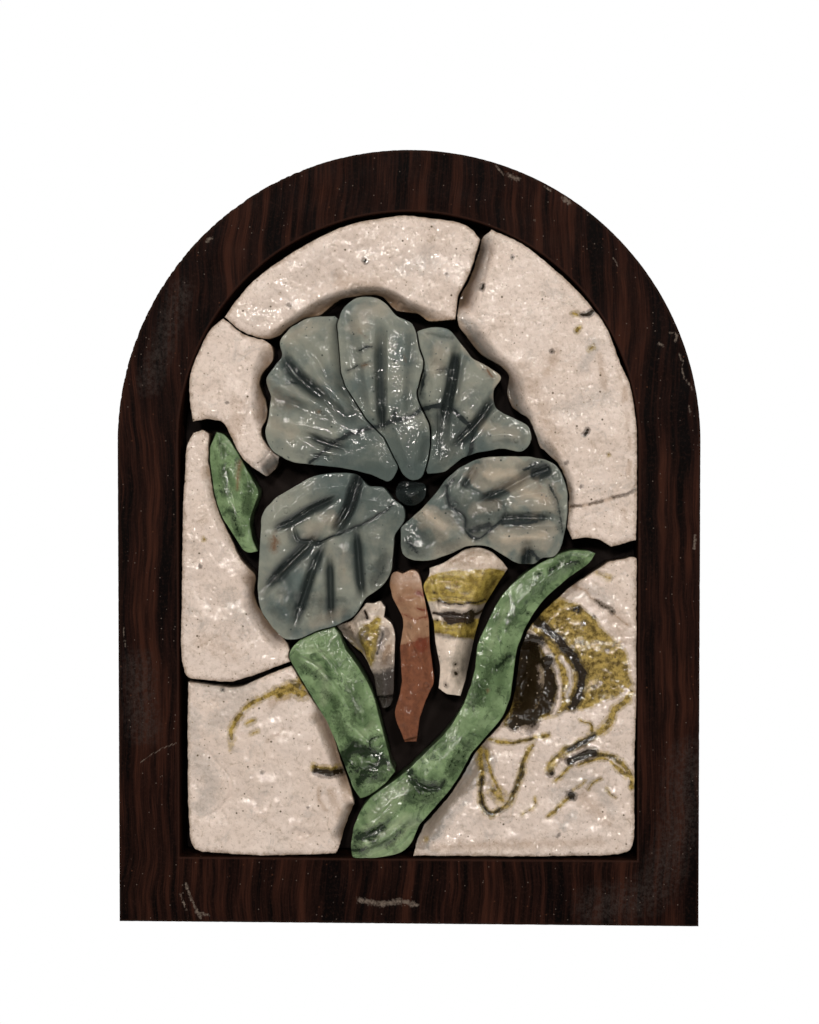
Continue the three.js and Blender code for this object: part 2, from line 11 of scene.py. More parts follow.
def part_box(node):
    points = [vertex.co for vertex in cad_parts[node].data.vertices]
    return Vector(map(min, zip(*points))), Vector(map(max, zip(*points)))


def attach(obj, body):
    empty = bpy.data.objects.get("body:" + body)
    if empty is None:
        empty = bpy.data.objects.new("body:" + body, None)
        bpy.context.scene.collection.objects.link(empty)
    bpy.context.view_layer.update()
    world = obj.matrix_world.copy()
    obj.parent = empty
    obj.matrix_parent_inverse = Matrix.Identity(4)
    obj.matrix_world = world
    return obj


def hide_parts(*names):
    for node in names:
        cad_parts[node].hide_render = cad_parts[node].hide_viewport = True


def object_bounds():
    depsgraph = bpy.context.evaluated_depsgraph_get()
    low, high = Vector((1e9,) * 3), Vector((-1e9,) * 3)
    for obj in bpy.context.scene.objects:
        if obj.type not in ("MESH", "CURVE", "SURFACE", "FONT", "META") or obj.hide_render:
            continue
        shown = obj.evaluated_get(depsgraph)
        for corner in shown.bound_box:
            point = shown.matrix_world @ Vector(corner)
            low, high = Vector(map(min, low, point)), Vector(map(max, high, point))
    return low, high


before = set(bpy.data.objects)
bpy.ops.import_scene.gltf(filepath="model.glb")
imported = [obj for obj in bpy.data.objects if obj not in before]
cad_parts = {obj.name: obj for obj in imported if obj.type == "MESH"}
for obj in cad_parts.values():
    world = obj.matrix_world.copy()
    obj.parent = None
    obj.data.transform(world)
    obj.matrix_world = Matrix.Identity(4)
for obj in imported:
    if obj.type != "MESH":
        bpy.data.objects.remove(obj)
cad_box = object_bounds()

# Sizes are in millimetres: x from the centre line, z from the panel's bottom edge, height from the wall
board_low, board_high = (np.array(corner) * 1000 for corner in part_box("frame_board"))
backing_low = np.array(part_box("backing_board")[0]) * 1000
BOTTOM = board_low[2]
FACE = -board_low[1]
REAR = -board_high[1]
BACKING_FACE = -backing_low[1]
HAIR = 0.02
FRAME_REAR = BACKING_FACE + HAIR  # so close that no light comes through the joint
HIGHEST = -1000 * cad_box[0].y - HAIR
SPRINGING = 149.3
HALF_WIDTH = 90.0
SIDE_RIM = 19.0
BOTTOM_RIM = 20.4
HOLE_RADIUS = 2.5
HOLE_DROP = 11.0

# Where the petals meet, how far their dark middle reaches, and how far below its face a stone gets its darkest
# painted shade, down its sides and in its hollows
HEART = (-1.0, 139.0)
HEART_REACH = 36.0
FULL_SHADE_DEPTH = 6.0

# How finely the stones are meshed, and how far their outlines wander
RING_STEP = 0.4
FINE_GRID = 0.27
GROUND_GRID = 0.4
FINE_RAGGED = 0.06
GROUND_RAGGED = 0.2
STONE_ARRIS = 0.3
# How far the painted shade beside the deepest sharp cuts spreads
WIDE_GROOVE_SHADE = 6.0

# The frame's rounded edges and the step along it, and how far the backing board stays inside it
INNER_ARRIS = 0.45
OUTER_ARRIS = 0.6
FRAME_STEP = 0.62
BACKING_INSET = 0.2

# How far the edges of each glass fall away, and over what width
SMALL_EDGE = (1.2, 3.2)
EDGES = {
    "petal_glass": (1.1, 4.5),
    "leaf_glass": (1.9, 5.5),
    "ground_glass": (0.35, 1.6),
    "stem_glass": SMALL_EDGE,
    "banded_glass": SMALL_EDGE,
}

# Lumps of the cast surfaces: (height, size, seed)
SMALL_LUMPS = [(0.2, 5.0, 31), (0.1, 2.2, 32), (0.03, 0.9, 33)]
LUMPS = {
    "petal_glass": [(0.2, 6.0, 11), (0.07, 2.4, 12), (0.02, 1.0, 13)],
    "leaf_glass": [(0.24, 6.0, 21), (0.12, 2.6, 22), (0.035, 1.1, 23)],
    "ground_glass": [(0.38, 11.0, 41), (0.26, 5.0, 42), (0.1, 2.1, 43), (0.04, 1.0, 44)],
    "stem_glass": SMALL_LUMPS,
    "banded_glass": SMALL_LUMPS,
}
PAINTS = ("olive", "dark", "brown", "pale", "shine")

# A stone's rise is how far its face stands before the frame's, and rough makes its small lumps higher. Its
# cuts are (depth, half width, points), soft ones round and sharp ones pointed; a ridge's depth is negative.
# Its rings are (x, z, radius). Each stroke or spot of a paint or of shine is (strength, half width, points).
# Its fields are (paint, strength, softness, outline), and what stays bare in them (paint, half width, points).
STONES = {
    "petal_upper_middle": {
        "glass": "petal_glass", "rise": 4.5,
        "soft": [
            (1.3, 2.2, (-7.6, 188), (-7.6, 174), (-7.6, 164), (-7.3, 151)),
            (0.9, 2.6, (-17.4, 190), (-15, 172), (-12, 158)),
            (0.9, 2.2, (1.8, 186), (0.8, 170), (0.6, 155)),
            (-0.6, 2.4, (-4.4, 186), (-4.4, 170), (-3.4, 158), (0, 148), (1.6, 138)),
            (-0.5, 2.6, (-12.4, 184), (-11.4, 168), (-10.6, 152)), (1, 3, (-9, 147), (-3, 141)),
            (0.9, 2.4, (7, 152), (5, 142)),
        ],
        "sharp": [
            (0.9, 1.2, (-8.8, 184), (-9, 172), (-8.6, 162), (-7.6, 153)),
            (0.8, 0.7, (-7.5, 160), (-7.4, 152.6)), (0.8, 0.8, (-3.8, 158.8), (-3.6, 155)),
        ],
        "rings": [
            (-0.6, 163.2, 0.7), (-9.6, 170, 0.6), (1, 142, 0.6),
        ],
        "shine": [
            (1, 2.2, (-5.7, 181.2), (-2, 165.3)), (1, 2.6, (-4.1, 157.9), (0.6, 149.5)),
            (1, 1.2, (-0.4, 146.3), (1.7, 140)), (1, 0.7, (-8.4, 159), (-7.3, 153.7)),
        ],
        "pale": [
            (0.6, 2.6, (-15, 184), (-13, 189), (-7, 191)),
        ],
        "brown": [
            (0.9, 0.45, (-13.7, 173), (-11.8, 173.2)), (0.7, 0.4, (-14.4, 183.4), (-12.6, 181.6)),
            (0.6, 0.3, (-0.8, 176), (-0.4, 174)),
        ],
        # The first dark stroke is the vein; the strokes at the slot near (-3.8, 157) and down the trough at x
        # -7.6 are painted shade
        "dark": [
            (1, 0.7, (-12, 153.4), (-7, 155), (-3, 156.2), (0.4, 157.3), (3.5, 158.8), (4.6, 160)),
            (0.8, 0.5, (-14.8, 177.6), (-12.6, 178.4), (-10.5, 179)), (0.7, 0.5, (-18, 171.5), (-15, 173)),
            (0.6, 0.4, (-12.5, 173.6), (-11.4, 174.2)), (1, 0.8, (-3.8, 158.4), (-3.7, 156.4)),
            (0.6, 1, (-7.6, 168), (-7.5, 158)),
        ],
    },
    "petal_upper_left": {
        "glass": "petal_glass", "rise": 3.4,
        "soft": [
            (-0.7, 2.6, (-36, 184), (-27, 178), (-21.4, 168)),
            (0.9, 3.4, (-30, 183), (-24.6, 172), (-19.4, 162)),
            (-0.6, 2.6, (-45, 170), (-38, 166), (-28, 160.4)),
            (0.8, 2.8, (-46, 164), (-38, 163.4), (-30, 159)),
            (2, 3.2, (-41, 179), (-38.3, 175.5), (-34.4, 170.4), (-29.7, 166.2), (-25.1, 162.7),
             (-19.7, 158.1), (-13, 154)),
            (1, 2.6, (-33, 153), (-29.7, 151.3), (-25.9, 149.4), (-17, 147)),
            (1.3, 3.2, (-20.4, 191), (-20.8, 176), (-18, 163), (-12, 154)),
            (-0.7, 2.8, (-31, 178), (-27.4, 170), (-22.8, 165), (-16, 158)),
            (-0.6, 3.2, (-43, 158), (-36, 155.4), (-25, 152.8), (-18, 151)),
            (0.8, 3, (-44, 160), (-37, 161), (-28, 158.6), (-20, 154)),
        ],
        "sharp": [
            (0.9, 1.3, (-38.3, 175.5), (-34.4, 170.4), (-29.7, 166.2), (-25.1, 162.7)),
            (0.9, 1, (-30.5, 152), (-25.9, 149.6), (-18.9, 147.6)),
            (0.7, 0.8, (-29.7, 145.9), (-23.6, 144.9)),
        ],
        "rings": [
            (-25.9, 158.8, 1), (-29.7, 155.7, 0.7), (-35.3, 149.3, 0.7), (-23.6, 144.6, 0.8),
        ],
        "shine": [
            (1, 1.2, (-38.5, 175.9), (-32.6, 166.9)), (1, 2.2, (-26.3, 164.3), (-15.7, 152.7)),
            (1, 1.4, (-42, 156.9), (-39, 155.3)), (1, 1.8, (-31, 156.9), (-23.7, 150.5)),
            (1, 1, (-25.2, 148.4), (-17.3, 145.8)), (0.7, 2.4, (-38, 150), (-28, 145)),
        ],
        # Both pale strokes are painted sheen, on the upper lobe and on the lower ridge, where the glass shines
        "pale": [
            (0.55, 2.4, (-41, 155), (-36, 152)), (0.5, 2.4, (-36, 182), (-30, 185)),
        ],
        "brown": [
            (1, 0.4, (-27.2, 159)), (0.6, 1.4, (-43, 168), (-44, 164)), (0.45, 2.6, (-40, 163), (-37, 161)),
        ],
        # The first two dark strokes are the vein; the two in the valley near (-35, 168) are painted shade
        "dark": [
            (1, 0.65, (-11.2, 153.8), (-15.8, 152.6), (-21.2, 150.3), (-25.1, 147.2), (-29.7, 143.4)),
            (1, 0.8, (-20, 150.8), (-15.8, 152.6), (-11, 154)), (0.9, 0.5, (-36.4, 167.6), (-34, 167.4)),
            (0.5, 1.6, (-33, 170.5), (-30, 167)),
        ],
    },
    "petal_upper_right": {
        "glass": "petal_glass", "rise": 3.4,
        "soft": [
            (1.5, 2.2, (15.6, 182), (14.7, 173.5), (13.6, 166.6), (12.4, 161.2), (10.4, 146)),
            (1.7, 2.6, (29, 166), (25.6, 161.2), (21.3, 155), (16.7, 149.6), (13, 146)),
            (0.9, 2.6, (7.4, 174), (11.6, 171.6)), (-0.7, 2, (18, 179), (15.4, 170), (14, 160)),
            (-0.5, 2.2, (9, 182), (8.6, 168), (7.6, 158)), (-0.8, 2.6, (37, 150), (30, 151.6), (24, 150.6)),
            (0.9, 2.4, (4, 172), (3.6, 165), (5, 158), (7.6, 150)), (0.7, 2.6, (30, 158), (26, 155)),
        ],
        "sharp": [
            (1.8, 1.6, (15.2, 177.4), (14.6, 172), (13.4, 165), (12.2, 160.4), (10.8, 155.6)),
            (1.3, 1.2, (25.8, 161.6), (22.8, 157), (19.6, 153.4), (14.3, 148.6)),
            (0.8, 0.7, (9.7, 160), (9.5, 146.5)), (0.7, 0.8, (8, 171), (13, 171.8)),
        ],
        "rings": [
            (33.5, 149.8, 0.8), (11.5, 146, 0.7),
        ],
        "shine": [
            (1, 1.1, (10.1, 171.7), (12.2, 171.1)), (1, 1.1, (7, 155.8), (11.2, 145.3)),
            (1, 0.9, (14.3, 149.5), (20.7, 154.8)), (1, 2.2, (30.2, 154.8), (35.5, 150.5)),
            (0.8, 2, (20.7, 150.5), (28, 150.5)),
        ],
        # The last pale stroke is painted sheen on the ridge of the right lobe, where the glass shines; the one
        # from (18, 178.6) is the cream edge
        "pale": [
            (0.6, 2.2, (10, 178), (9, 172)), (0.9, 1.2, (18, 178.6), (23, 174), (28, 170), (27.2, 164)),
            (0.5, 2, (24, 154), (33, 152)),
        ],
        "brown": [
            (1, 0.6, (24.4, 171.8), (26.2, 169.6)),
        ],
        # The first dark stroke is the vein; the strokes down the two long grooves, from (15, 175.6) and (25.6,
        # 161), are painted shade in them
        "dark": [
            (1, 0.75, (3.5, 158.8), (6.6, 160.2), (10, 160.4), (13.6, 159.6), (16.7, 156.9), (19.8, 153.8),
             (20.1, 149.6), (19, 145.7)),
            (0.75, 0.9, (15, 175.6), (14, 168), (12.6, 161), (11.4, 157.4)),
            (0.5, 3.4, (9, 156), (16, 154), (12, 147)), (0.7, 1.3, (25.6, 161), (22.6, 157.4), (20.6, 155)),
            (0.6, 0.5, (6.4, 182.8), (10, 182), (14, 181.8)),
            (0.8, 0.9, (4, 164), (5.2, 169.6), (4.6, 173)),
        ],
    },
    "petal_lower_left": {
        "glass": "petal_glass", "rise": 3.4,
        "soft": [
            (0.8, 3, (-40, 110), (-36, 104), (-33, 96)), (-0.7, 2.2, (-30.6, 112), (-34, 106), (-39, 97)),
            (-0.6, 2.2, (-25.6, 110), (-27.4, 100), (-29, 92)),
            (0.8, 2.4, (-20, 112), (-19, 102), (-18, 92)),
            (2.1, 2.6, (-13.6, 143), (-15.6, 137), (-18.1, 128.7), (-23, 120.5)),
            (1, 2.4, (-19, 134), (-29.8, 128.7), (-44, 121.5)),
            (1.5, 3, (-25, 123), (-34.4, 114), (-47, 101)),
            (1.1, 2.6, (-25, 120), (-27.8, 113.2), (-30.9, 104.7), (-37, 86)),
            (0.8, 2.2, (-23.8, 118), (-23.6, 107), (-23.3, 90)),
            (1.1, 2.6, (-16, 127), (-15.1, 115.5), (-14.3, 106.2), (-12.6, 98)),
            (-0.7, 2.6, (-27, 112), (-29, 96)), (-0.6, 2.2, (-19.4, 120), (-19, 96)),
            (-0.5, 3, (-30, 126), (-24, 124)), (0.9, 4, (-4, 117), (-11, 104)),
            (-0.6, 2.4, (-10, 122), (-10.4, 110)),
        ],
        "sharp": [
            (1.8, 1.5, (-14.6, 139.4), (-15.6, 136), (-18.1, 128.7), (-22.4, 122)),
            (1.7, 1.1, (-21.6, 132.6), (-29.8, 128.7), (-35.2, 125.2), (-41, 122.6)),
            (1.8, 1.3, (-27.8, 120.4), (-34.4, 114), (-38.4, 110.2), (-43, 105.4)),
            (1.4, 1, (-25.4, 118), (-27.8, 113.2), (-30.9, 104.7), (-34.6, 93.4)),
            (1.2, 0.9, (-23.8, 114), (-23.6, 107), (-23.4, 94.6)),
            (1.3, 1, (-15.6, 122), (-15.1, 115.5), (-14.3, 106.2), (-13.6, 101.8)),
            (0.9, 0.7, (-34.8, 123.4), (-33.2, 119.4), (-29.8, 119), (-26.6, 118.6), (-24.4, 119.8)),
            (0.6, 0.7, (-28.2, 117.9), (-23.6, 120.2), (-18.2, 122.5), (-12.7, 124.8), (-5.8, 129.1)),
        ],
        "rings": [
            (-37.2, 128.2, 0.8), (-30.4, 96.2, 0.7), (-11.4, 111, 0.9), (-8, 103.6, 0.6),
        ],
        "shine": [
            (1, 0.9, (-39.5, 123.1), (-21.6, 132)), (1, 0.9, (-43.2, 106.2), (-27.9, 119.9)),
            (1, 0.8, (-34.8, 92.5), (-26.8, 116.7)), (1, 0.6, (-23.7, 106.2), (-23.5, 94.6)),
            (1, 0.7, (-15.7, 116.7), (-14, 103)), (1, 0.8, (-20.5, 125), (-2.6, 131.5)),
            (1, 1, (-33.2, 136.8), (-20.5, 138.4)), (1, 1.5, (-21.6, 115.7), (-17.3, 113.6)),
            (1, 1.5, (-45.8, 100.9), (-42.7, 93.5)),
        ],
        # The pale strokes are painted sheen, where the glass shines
        "pale": [
            (0.6, 2.2, (-30, 122.4), (-23, 126)), (0.4, 2, (-19.5, 116), (-19.5, 108)),
            (0.5, 1.8, (-29, 93), (-21, 97)),
        ],
        "brown": [
            (0.95, 1.5, (-40.8, 119.6), (-41, 117.4)), (0.5, 0.5, (-19.5, 110.5)),
        ],
        # The first dark stroke is the vein; the strokes from (-15, 138.6), (-23.6, 131.6), (-33.4, 115.2),
        # (-31.4, 104), (-15.4, 121) and (-36, 122.4) follow the sharp grooves and are painted shade in them
        "dark": [
            (0.95, 0.4, (-28.2, 117.9), (-23.6, 120.2), (-18.2, 122.5), (-12.7, 124.8), (-5.8, 129.1),
             (-4.2, 130.7)),
            (0.8, 1.1, (-15, 138.6), (-16.6, 133.6), (-19.6, 126.6)),
            (0.75, 0.6, (-23.6, 131.6), (-29.8, 128.7), (-35.2, 125.2), (-40, 123)),
            (0.75, 0.9, (-33.4, 115.2), (-37.4, 111.2), (-42.6, 105.8)),
            (0.6, 0.5, (-31.4, 104), (-34.4, 94)), (0.6, 0.6, (-15.4, 121), (-14.8, 113)),
            (0.4, 3.6, (-36, 98), (-30, 100), (-22, 98)), (0.6, 1.3, (-36, 122.4), (-33.6, 118.6)),
            (0.55, 1, (-39, 103.2), (-32, 102), (-26.7, 100.8), (-19.7, 100.8)),
            (0.5, 1.6, (-41, 98), (-38, 96)), (0.6, 2.4, (-9.6, 106.4), (-6.6, 112)),
        ],
    },
    "petal_lower_right": {
        "glass": "petal_glass", "rise": 3.4,
        "soft": [
            (-0.7, 2.2, (24, 136.4), (33, 140.4), (39, 143)),
            (-0.6, 2.2, (28, 128.6), (38, 129.4), (46, 130)),
            (0.8, 2.6, (28, 122.6), (38, 123), (46, 121.6)), (0.9, 2.2, (23, 144), (17, 135.2)),
            (1.5, 2.6, (20, 130), (29.8, 134.9), (38.3, 139.5), (47, 143)),
            (1.4, 2.6, (26, 126), (36, 126), (48, 126.4)), (1.4, 2.4, (37.2, 120), (36.2, 108)),
            (0.9, 3, (11, 134), (15.1, 127.9), (19, 123), (24, 119)), (-0.7, 3.2, (32, 141), (23, 138)),
            (-0.7, 2.8, (44, 132), (30, 130)), (-0.6, 3, (43, 120), (31, 121)),
            (-0.6, 2.6, (4, 127), (14, 120), (20, 117)), (0.6, 4, (1, 124), (8, 117)),
        ],
        "sharp": [
            (1.2, 0.9, (21.2, 142), (19.4, 139), (16.8, 135)),
            (1.4, 1, (22.1, 131.4), (29.8, 134.9), (37, 139)),
            (1.9, 1.9, (37.8, 139.2), (41.4, 140.2), (44.4, 141.4)), (0.7, 1.5, (44.4, 138.6), (47, 139.8)),
            (1.1, 0.9, (28.6, 125.8), (36, 126.4), (44, 126.2)), (0.8, 1.1, (20, 122.6), (27, 124)),
            (1.3, 1, (37, 117.4), (36.4, 111.4)),
            (0.5, 0.8, (12.2, 135.8), (13.3, 130), (17.5, 126.8), (18.6, 122.1), (21.7, 119.7), (26, 123.1),
             (29.1, 125.2), (30.2, 128.4), (27.5, 131.5), (21.7, 134.2), (16.4, 136.8)),
        ],
        "rings": [
            (4.3, 126.2, 1.2), (14.7, 130.2, 0.8), (25.6, 128.3, 0.6), (1.4, 120, 0.8),
        ],
        "shine": [
            (1, 0.8, (16.5, 135.8), (21.2, 141)), (1, 0.8, (21.7, 131.5), (31.2, 136.8)),
            (1, 0.8, (30.2, 126.3), (43.4, 126.3)), (1, 1.5, (39.7, 141), (45, 141)),
            (1, 1.2, (46, 136.8), (48.1, 127.3)), (0.9, 2, (-0.4, 122), (7, 115.7)),
            (1, 1.2, (12.2, 133.6), (19.6, 122)), (1, 1.2, (21.7, 128.4), (26, 129.4)),
            (1, 1.2, (36.5, 114.6), (39.7, 115.7)),
        ],
        "pale": [
            (1, 3.2, (6, 127.6), (11, 123.6)), (1, 4.2, (24, 140), (33, 139.4)),
            (1, 4, (36, 134.4), (42, 132.4)), (1, 3.4, (30, 119.6), (42, 121)),
            (0.7, 1.6, (21, 129), (27, 130)), (0.6, 2.4, (10, 115.4), (18, 118)),
        ],
        "brown": [
            (0.9, 0.4, (40.9, 135.9)), (0.5, 1.4, (40, 134), (43, 132)),
        ],
        # The strokes from (19.6, 122.4), (35.6, 141), (38.8, 139.6), (29.4, 124.6) and (35.6, 112) follow the
        # sharp grooves and are painted shade in them
        "dark": [
            (0.9, 0.6, (12.2, 135.8), (13.3, 130), (17.5, 126.8), (18.6, 122.1), (21.7, 119.7), (26, 123.1),
             (29.1, 125.2)),
            (0.8, 1.6, (19.6, 122.4), (25, 124)), (0.5, 4.6, (17, 129), (22, 126), (26, 128.6)),
            (0.45, 3, (4, 121), (14, 117)),
            (0.6, 0.4, (29.1, 125.2), (30.2, 128.4), (27.5, 131.5), (21.7, 134.2), (16.4, 136.8)),
            (0.8, 1.2, (12, 136), (14, 138)), (0.75, 1.5, (35.6, 141), (40, 143)),
            (0.95, 1.2, (38.8, 139.6), (43, 141.2)), (0.85, 0.9, (29.4, 124.6), (35, 124.6), (39.9, 125)),
            (0.7, 1, (43.7, 136.4), (46, 131), (47.8, 122)),
            (0.8, 1.6, (35.6, 112), (37.6, 116), (41, 113)), (0.7, 2, (0.4, 119), (3.4, 115.6)),
        ],
    },
    "flower_throat": {
        "glass": "petal_glass", "rise": 1.2, "edge": (2.6, 3.6),
        "soft": [
            (1.4, 1.8, (-6, 136.4), (7, 136.6)), (1, 2.4, (-5, 130), (7, 129)),
        ],
        "sharp": [
            (1, 1, (-4, 136), (5, 136.6)),
        ],
        "rings": [
            (-2.4, 137.6, 0.8), (-0.4, 139.4, 0.7),
        ],
        "shine": [
            (1, 4, (-3, 138), (3, 134)),
        ],
        # Both dark strokes are painted shade: the slit under the petals' tips and the throat sunk below them
        "dark": [
            (1, 1.8, (-6, 136.6), (7, 136.8)), (0.9, 7, (-6, 133), (7, 131)),
        ],
    },
    "leaf_long": {
        "glass": "leaf_glass", "rise": 3,
        "soft": [
            (1.1, 2.6, (-14.5, 27), (-8, 29.6), (0, 32.6)), (0.8, 2.2, (-12, 22), (-4, 26.5), (2, 33)),
            (0.9, 2.6, (1, 47.5), (5.5, 43.5), (12, 43)), (-0.4, 2.4, (-14, 24), (-4, 30), (6, 37)),
            (-0.5, 3, (22, 62), (26, 74), (30, 88), (38, 100)),
        ],
        "sharp": [
            (0.4, 0.9, (-13.4, 22.6), (-6, 26.6), (1.6, 33)),
            (0.4, 0.9, (-15, 26), (-8, 30.6), (-1.6, 36.4)),
            (0.35, 0.8, (-10, 20.4), (-3, 24.4), (3.4, 30.4)),
            (0.3, 0.7, (-15.4, 29.4), (-9, 34), (-4, 39)), (0.3, 0.7, (-6, 20), (0, 23), (4, 27.4)),
            (0.8, 0.9, (1, 46.6), (4, 43.6), (7, 42.4), (10.4, 43)), (0.35, 0.6, (28, 97), (31, 101.5)),
        ],
        "rings": [
            (35, 92.5, 1.6), (24, 82.1, 1.4), (23.7, 75.2, 1.3), (26.5, 65.4, 1.5), (9.6, 37.4, 0.9),
            (31.4, 84, 0.8), (20.6, 60.6, 0.9),
        ],
        "shine": [
            (1, 1.8, (14, 58), (17.4, 64), (21.1, 80.8), (24.3, 93.4), (32.7, 105)),
            (1, 1.8, (1.6, 46.4), (7.4, 44.9)), (1, 3, (-15.8, 25.8), (-3.2, 38.5)),
            (1, 2.5, (-11.6, 22.7), (2.1, 32.2)), (0.9, 1.4, (32, 96), (40, 106), (50, 112)),
        ],
        # The pale strokes are painted highlights, on the ridges at the lower end and along the left edge
        "pale": [
            (0.9, 1, (-14, 24.4), (-7, 28.8), (0, 34.6)),
            (0.9, 0.9, (-11.6, 21.4), (-4.6, 25.6), (2.6, 31.8)),
            (0.8, 1.1, (-13, 30), (-6, 35), (-1.6, 40)), (0.7, 0.8, (-14, 20.4), (-6, 21.4), (1, 26)),
            (0.5, 0.8, (25, 84), (28, 93), (32, 101)), (0.7, 1.6, (-11, 34), (-6, 39), (0, 43.6)),
        ],
        "brown": [
            (1, 0.35, (24.9, 73.1)),
        ],
        # The thin strokes from (-11, 24) and (-13, 27.2) are painted shade between the ridges at the lower end
        "dark": [
            (1, 1.2, (0.8, 47.5)), (1, 1.6, (2.4, 44.6), (5.4, 42.6), (8, 43.4)),
            (0.55, 3.2, (2, 41), (8, 41.4)), (0.45, 0.4, (-11, 24), (-6, 26.6), (-1, 30.6)),
            (0.4, 0.4, (-13, 27.2), (-8, 30.6), (-4, 34)), (0.9, 0.8, (6, 41.6), (9.4, 42.4), (11.4, 44.6)),
            (0.9, 1.5, (-15, 27), (-11, 28.4), (-8, 30)), (0.8, 1.4, (-17, 23), (-14, 23.6)),
            (0.7, 1, (-13, 28), (-10, 26)), (0.6, 1, (-6, 25), (-2, 29)), (0.9, 0.7, (40.6, 109.2)),
            (0.8, 0.9, (44, 110), (46.6, 112)), (0.7, 1.2, (49, 112.6), (53, 112.6)), (0.6, 0.9, (37, 97)),
            (0.6, 0.8, (28, 73)), (0.75, 1.1, (27.5, 80.5), (29.6, 82), (31.5, 83.5)),
            (0.45, 2.4, (20.6, 69), (23, 74)), (0.55, 1.1, (13, 50), (16, 54)),
            (0.5, 1, (31, 92), (33, 97)), (0.5, 2, (14, 48), (19, 56)), (0.45, 1.6, (24, 76), (27, 82)),
        ],
    },
    "leaf_lower_left": {
        "glass": "leaf_glass", "rise": 2.2,
        "soft": [
            (0.8, 2.8, (-33, 84), (-26, 74), (-19, 62)), (1.1, 2.8, (-18, 50), (-13, 53), (-8, 52)),
            (-0.4, 2, (-28, 86), (-20, 74), (-13, 60)),
        ],
        "sharp": [
            (0.5, 0.8, (-34.6, 84), (-28, 80.4), (-22, 74), (-17, 66)),
            (0.5, 0.8, (-29, 87), (-24.4, 83.4), (-20, 78)), (0.5, 0.8, (-17, 62), (-12, 57)),
            (0.7, 0.9, (-20, 53), (-16, 56.6), (-11, 53.6)), (0.6, 0.9, (-17, 46), (-12.4, 49.6), (-8, 48)),
        ],
        "rings": [
            (-9.5, 56.5, 1.6), (-8.6, 45.6, 2), (-26.4, 87.6, 1.4), (-21, 76, 0.8),
        ],
        "shine": [
            (1, 1.2, (-24.3, 90.3), (-22.2, 85)), (1, 1.1, (-28.5, 80.8), (-26.4, 73.4)),
            (1, 1.6, (-10.6, 57.5), (-7.4, 49.1)), (1, 1.2, (-35, 84), (-31, 81)),
            (1, 1.4, (-12, 46), (-6, 50)),
        ],
        # The pale strokes are painted highlights on the leaf's ridges
        "pale": [
            (0.8, 1, (-27, 80), (-25, 74), (-26, 69)), (0.7, 0.8, (-14, 59.6), (-10.6, 62)),
            (0.5, 1.4, (-30, 86), (-24, 84)),
        ],
        "dark": [
            (1, 2, (-19.6, 51.6), (-16.6, 55), (-13, 54)), (0.9, 1.6, (-15, 44.6), (-12, 48.6), (-8, 51)),
            (0.9, 1.2, (-10, 53), (-6, 50)), (0.7, 0.6, (-8.4, 58.6), (-11.2, 57.6), (-11.2, 55)),
            (0.6, 4, (-17, 48.6), (-10, 47)), (0.5, 1.2, (-25, 72), (-22, 68)),
            (0.45, 1.4, (-18, 74), (-15, 66)), (0.5, 1, (-32, 80), (-28, 77)),
            (0.5, 0.9, (-17, 63), (-15, 68)), (0.4, 1.6, (-22, 66), (-19, 60)),
        ],
    },
    "leaf_left": {
        "glass": "leaf_glass", "rise": 0.5,
        "soft": [
            (0.7, 2.2, (-57.5, 150), (-55.5, 138), (-52, 124)), (-0.4, 2, (-53.5, 146), (-51, 134)),
        ],
        "sharp": [
            (0.4, 0.7, (-57, 146), (-55, 136), (-52.6, 126)),
        ],
        "rings": [
            (-55.2, 143, 0.8),
        ],
        "shine": [
            (0.8, 1.4, (-56.6, 140), (-54, 128)),
        ],
        "brown": [
            (0.8, 0.6, (-51.9, 143.7), (-52.4, 139.6), (-52.8, 135.3)),
        ],
        "dark": [
            (0.5, 1.4, (-49, 136), (-49.4, 128)), (0.5, 1.2, (-57, 141), (-56, 134)),
            (0.6, 1, (-54.4, 128), (-52, 121)), (0.5, 1, (-58.4, 150), (-57, 146)),
        ],
    },
    "stem_terracotta": {
        "glass": "stem_glass", "rise": 0.5,
        "soft": [
            (1.6, 5, (2, 54), (1, 58)), (0.8, 3.4, (0, 108), (1.4, 101)), (-0.4, 2, (4, 94), (4.6, 76)),
        ],
        "sharp": [
            (0.4, 0.7, (-0.4, 91), (2.6, 84)),
        ],
        "rings": [
            (6, 74, 0.7),
        ],
        "pale": [
            (0.8, 2.6, (-2, 107.6), (3, 107)),
        ],
        "olive": [
            (1, 0.7, (3, 102.8), (8.6, 102.2)), (0.9, 0.5, (3, 98.2), (5.6, 97.6), (8.4, 98.4)),
            (0.8, 0.5, (3.4, 95.4), (8.6, 95.6)), (0.5, 0.9, (-2.4, 100.6), (1, 101.4)),
            (0.7, 0.45, (-2, 96.4), (3, 95), (8, 97)),
        ],
        "dark": [
            (0.6, 0.8, (0.8, 92.8)), (0.6, 0.45, (4, 88.6)),
        ],
        "fields": [
            ("brown", 1, 1.2, (-4, 86.5), (2, 88), (10.5, 90), (16, 60), (8, 50), (-8, 50)),
            ("olive", 0.75, 0.8, (1.6, 86.6), (2.4, 89), (4.4, 90), (6.2, 88.6), (6.6, 86.2), (4.4, 84)),
        ],
    },
    "stone_banded": {
        "glass": "banded_glass", "rise": 0.6,
        "soft": [
            (5, 6, (32, 112), (27.5, 104), (22.5, 93), (20, 84), (17.5, 70)),
            (1.1, 2.4, (9, 96), (20, 95.6)), (-0.5, 1.6, (8, 92.6), (20, 92)),
            (0.5, 2.4, (9, 110), (20, 111)),
        ],
        "sharp": [
            (0.6, 0.8, (7.3, 109), (8.5, 104), (9.5, 98)), (0.6, 0.8, (8, 107), (13, 107.6), (19, 106.4)),
            (0.5, 0.7, (8, 101.6), (22, 101)), (0.7, 1, (10, 96), (20, 95.4)),
        ],
        "rings": [
            (15.6, 106, 0.8), (11, 103, 0.7),
        ],
        # The first brown stroke is painted shade on the slope along the stone's right side
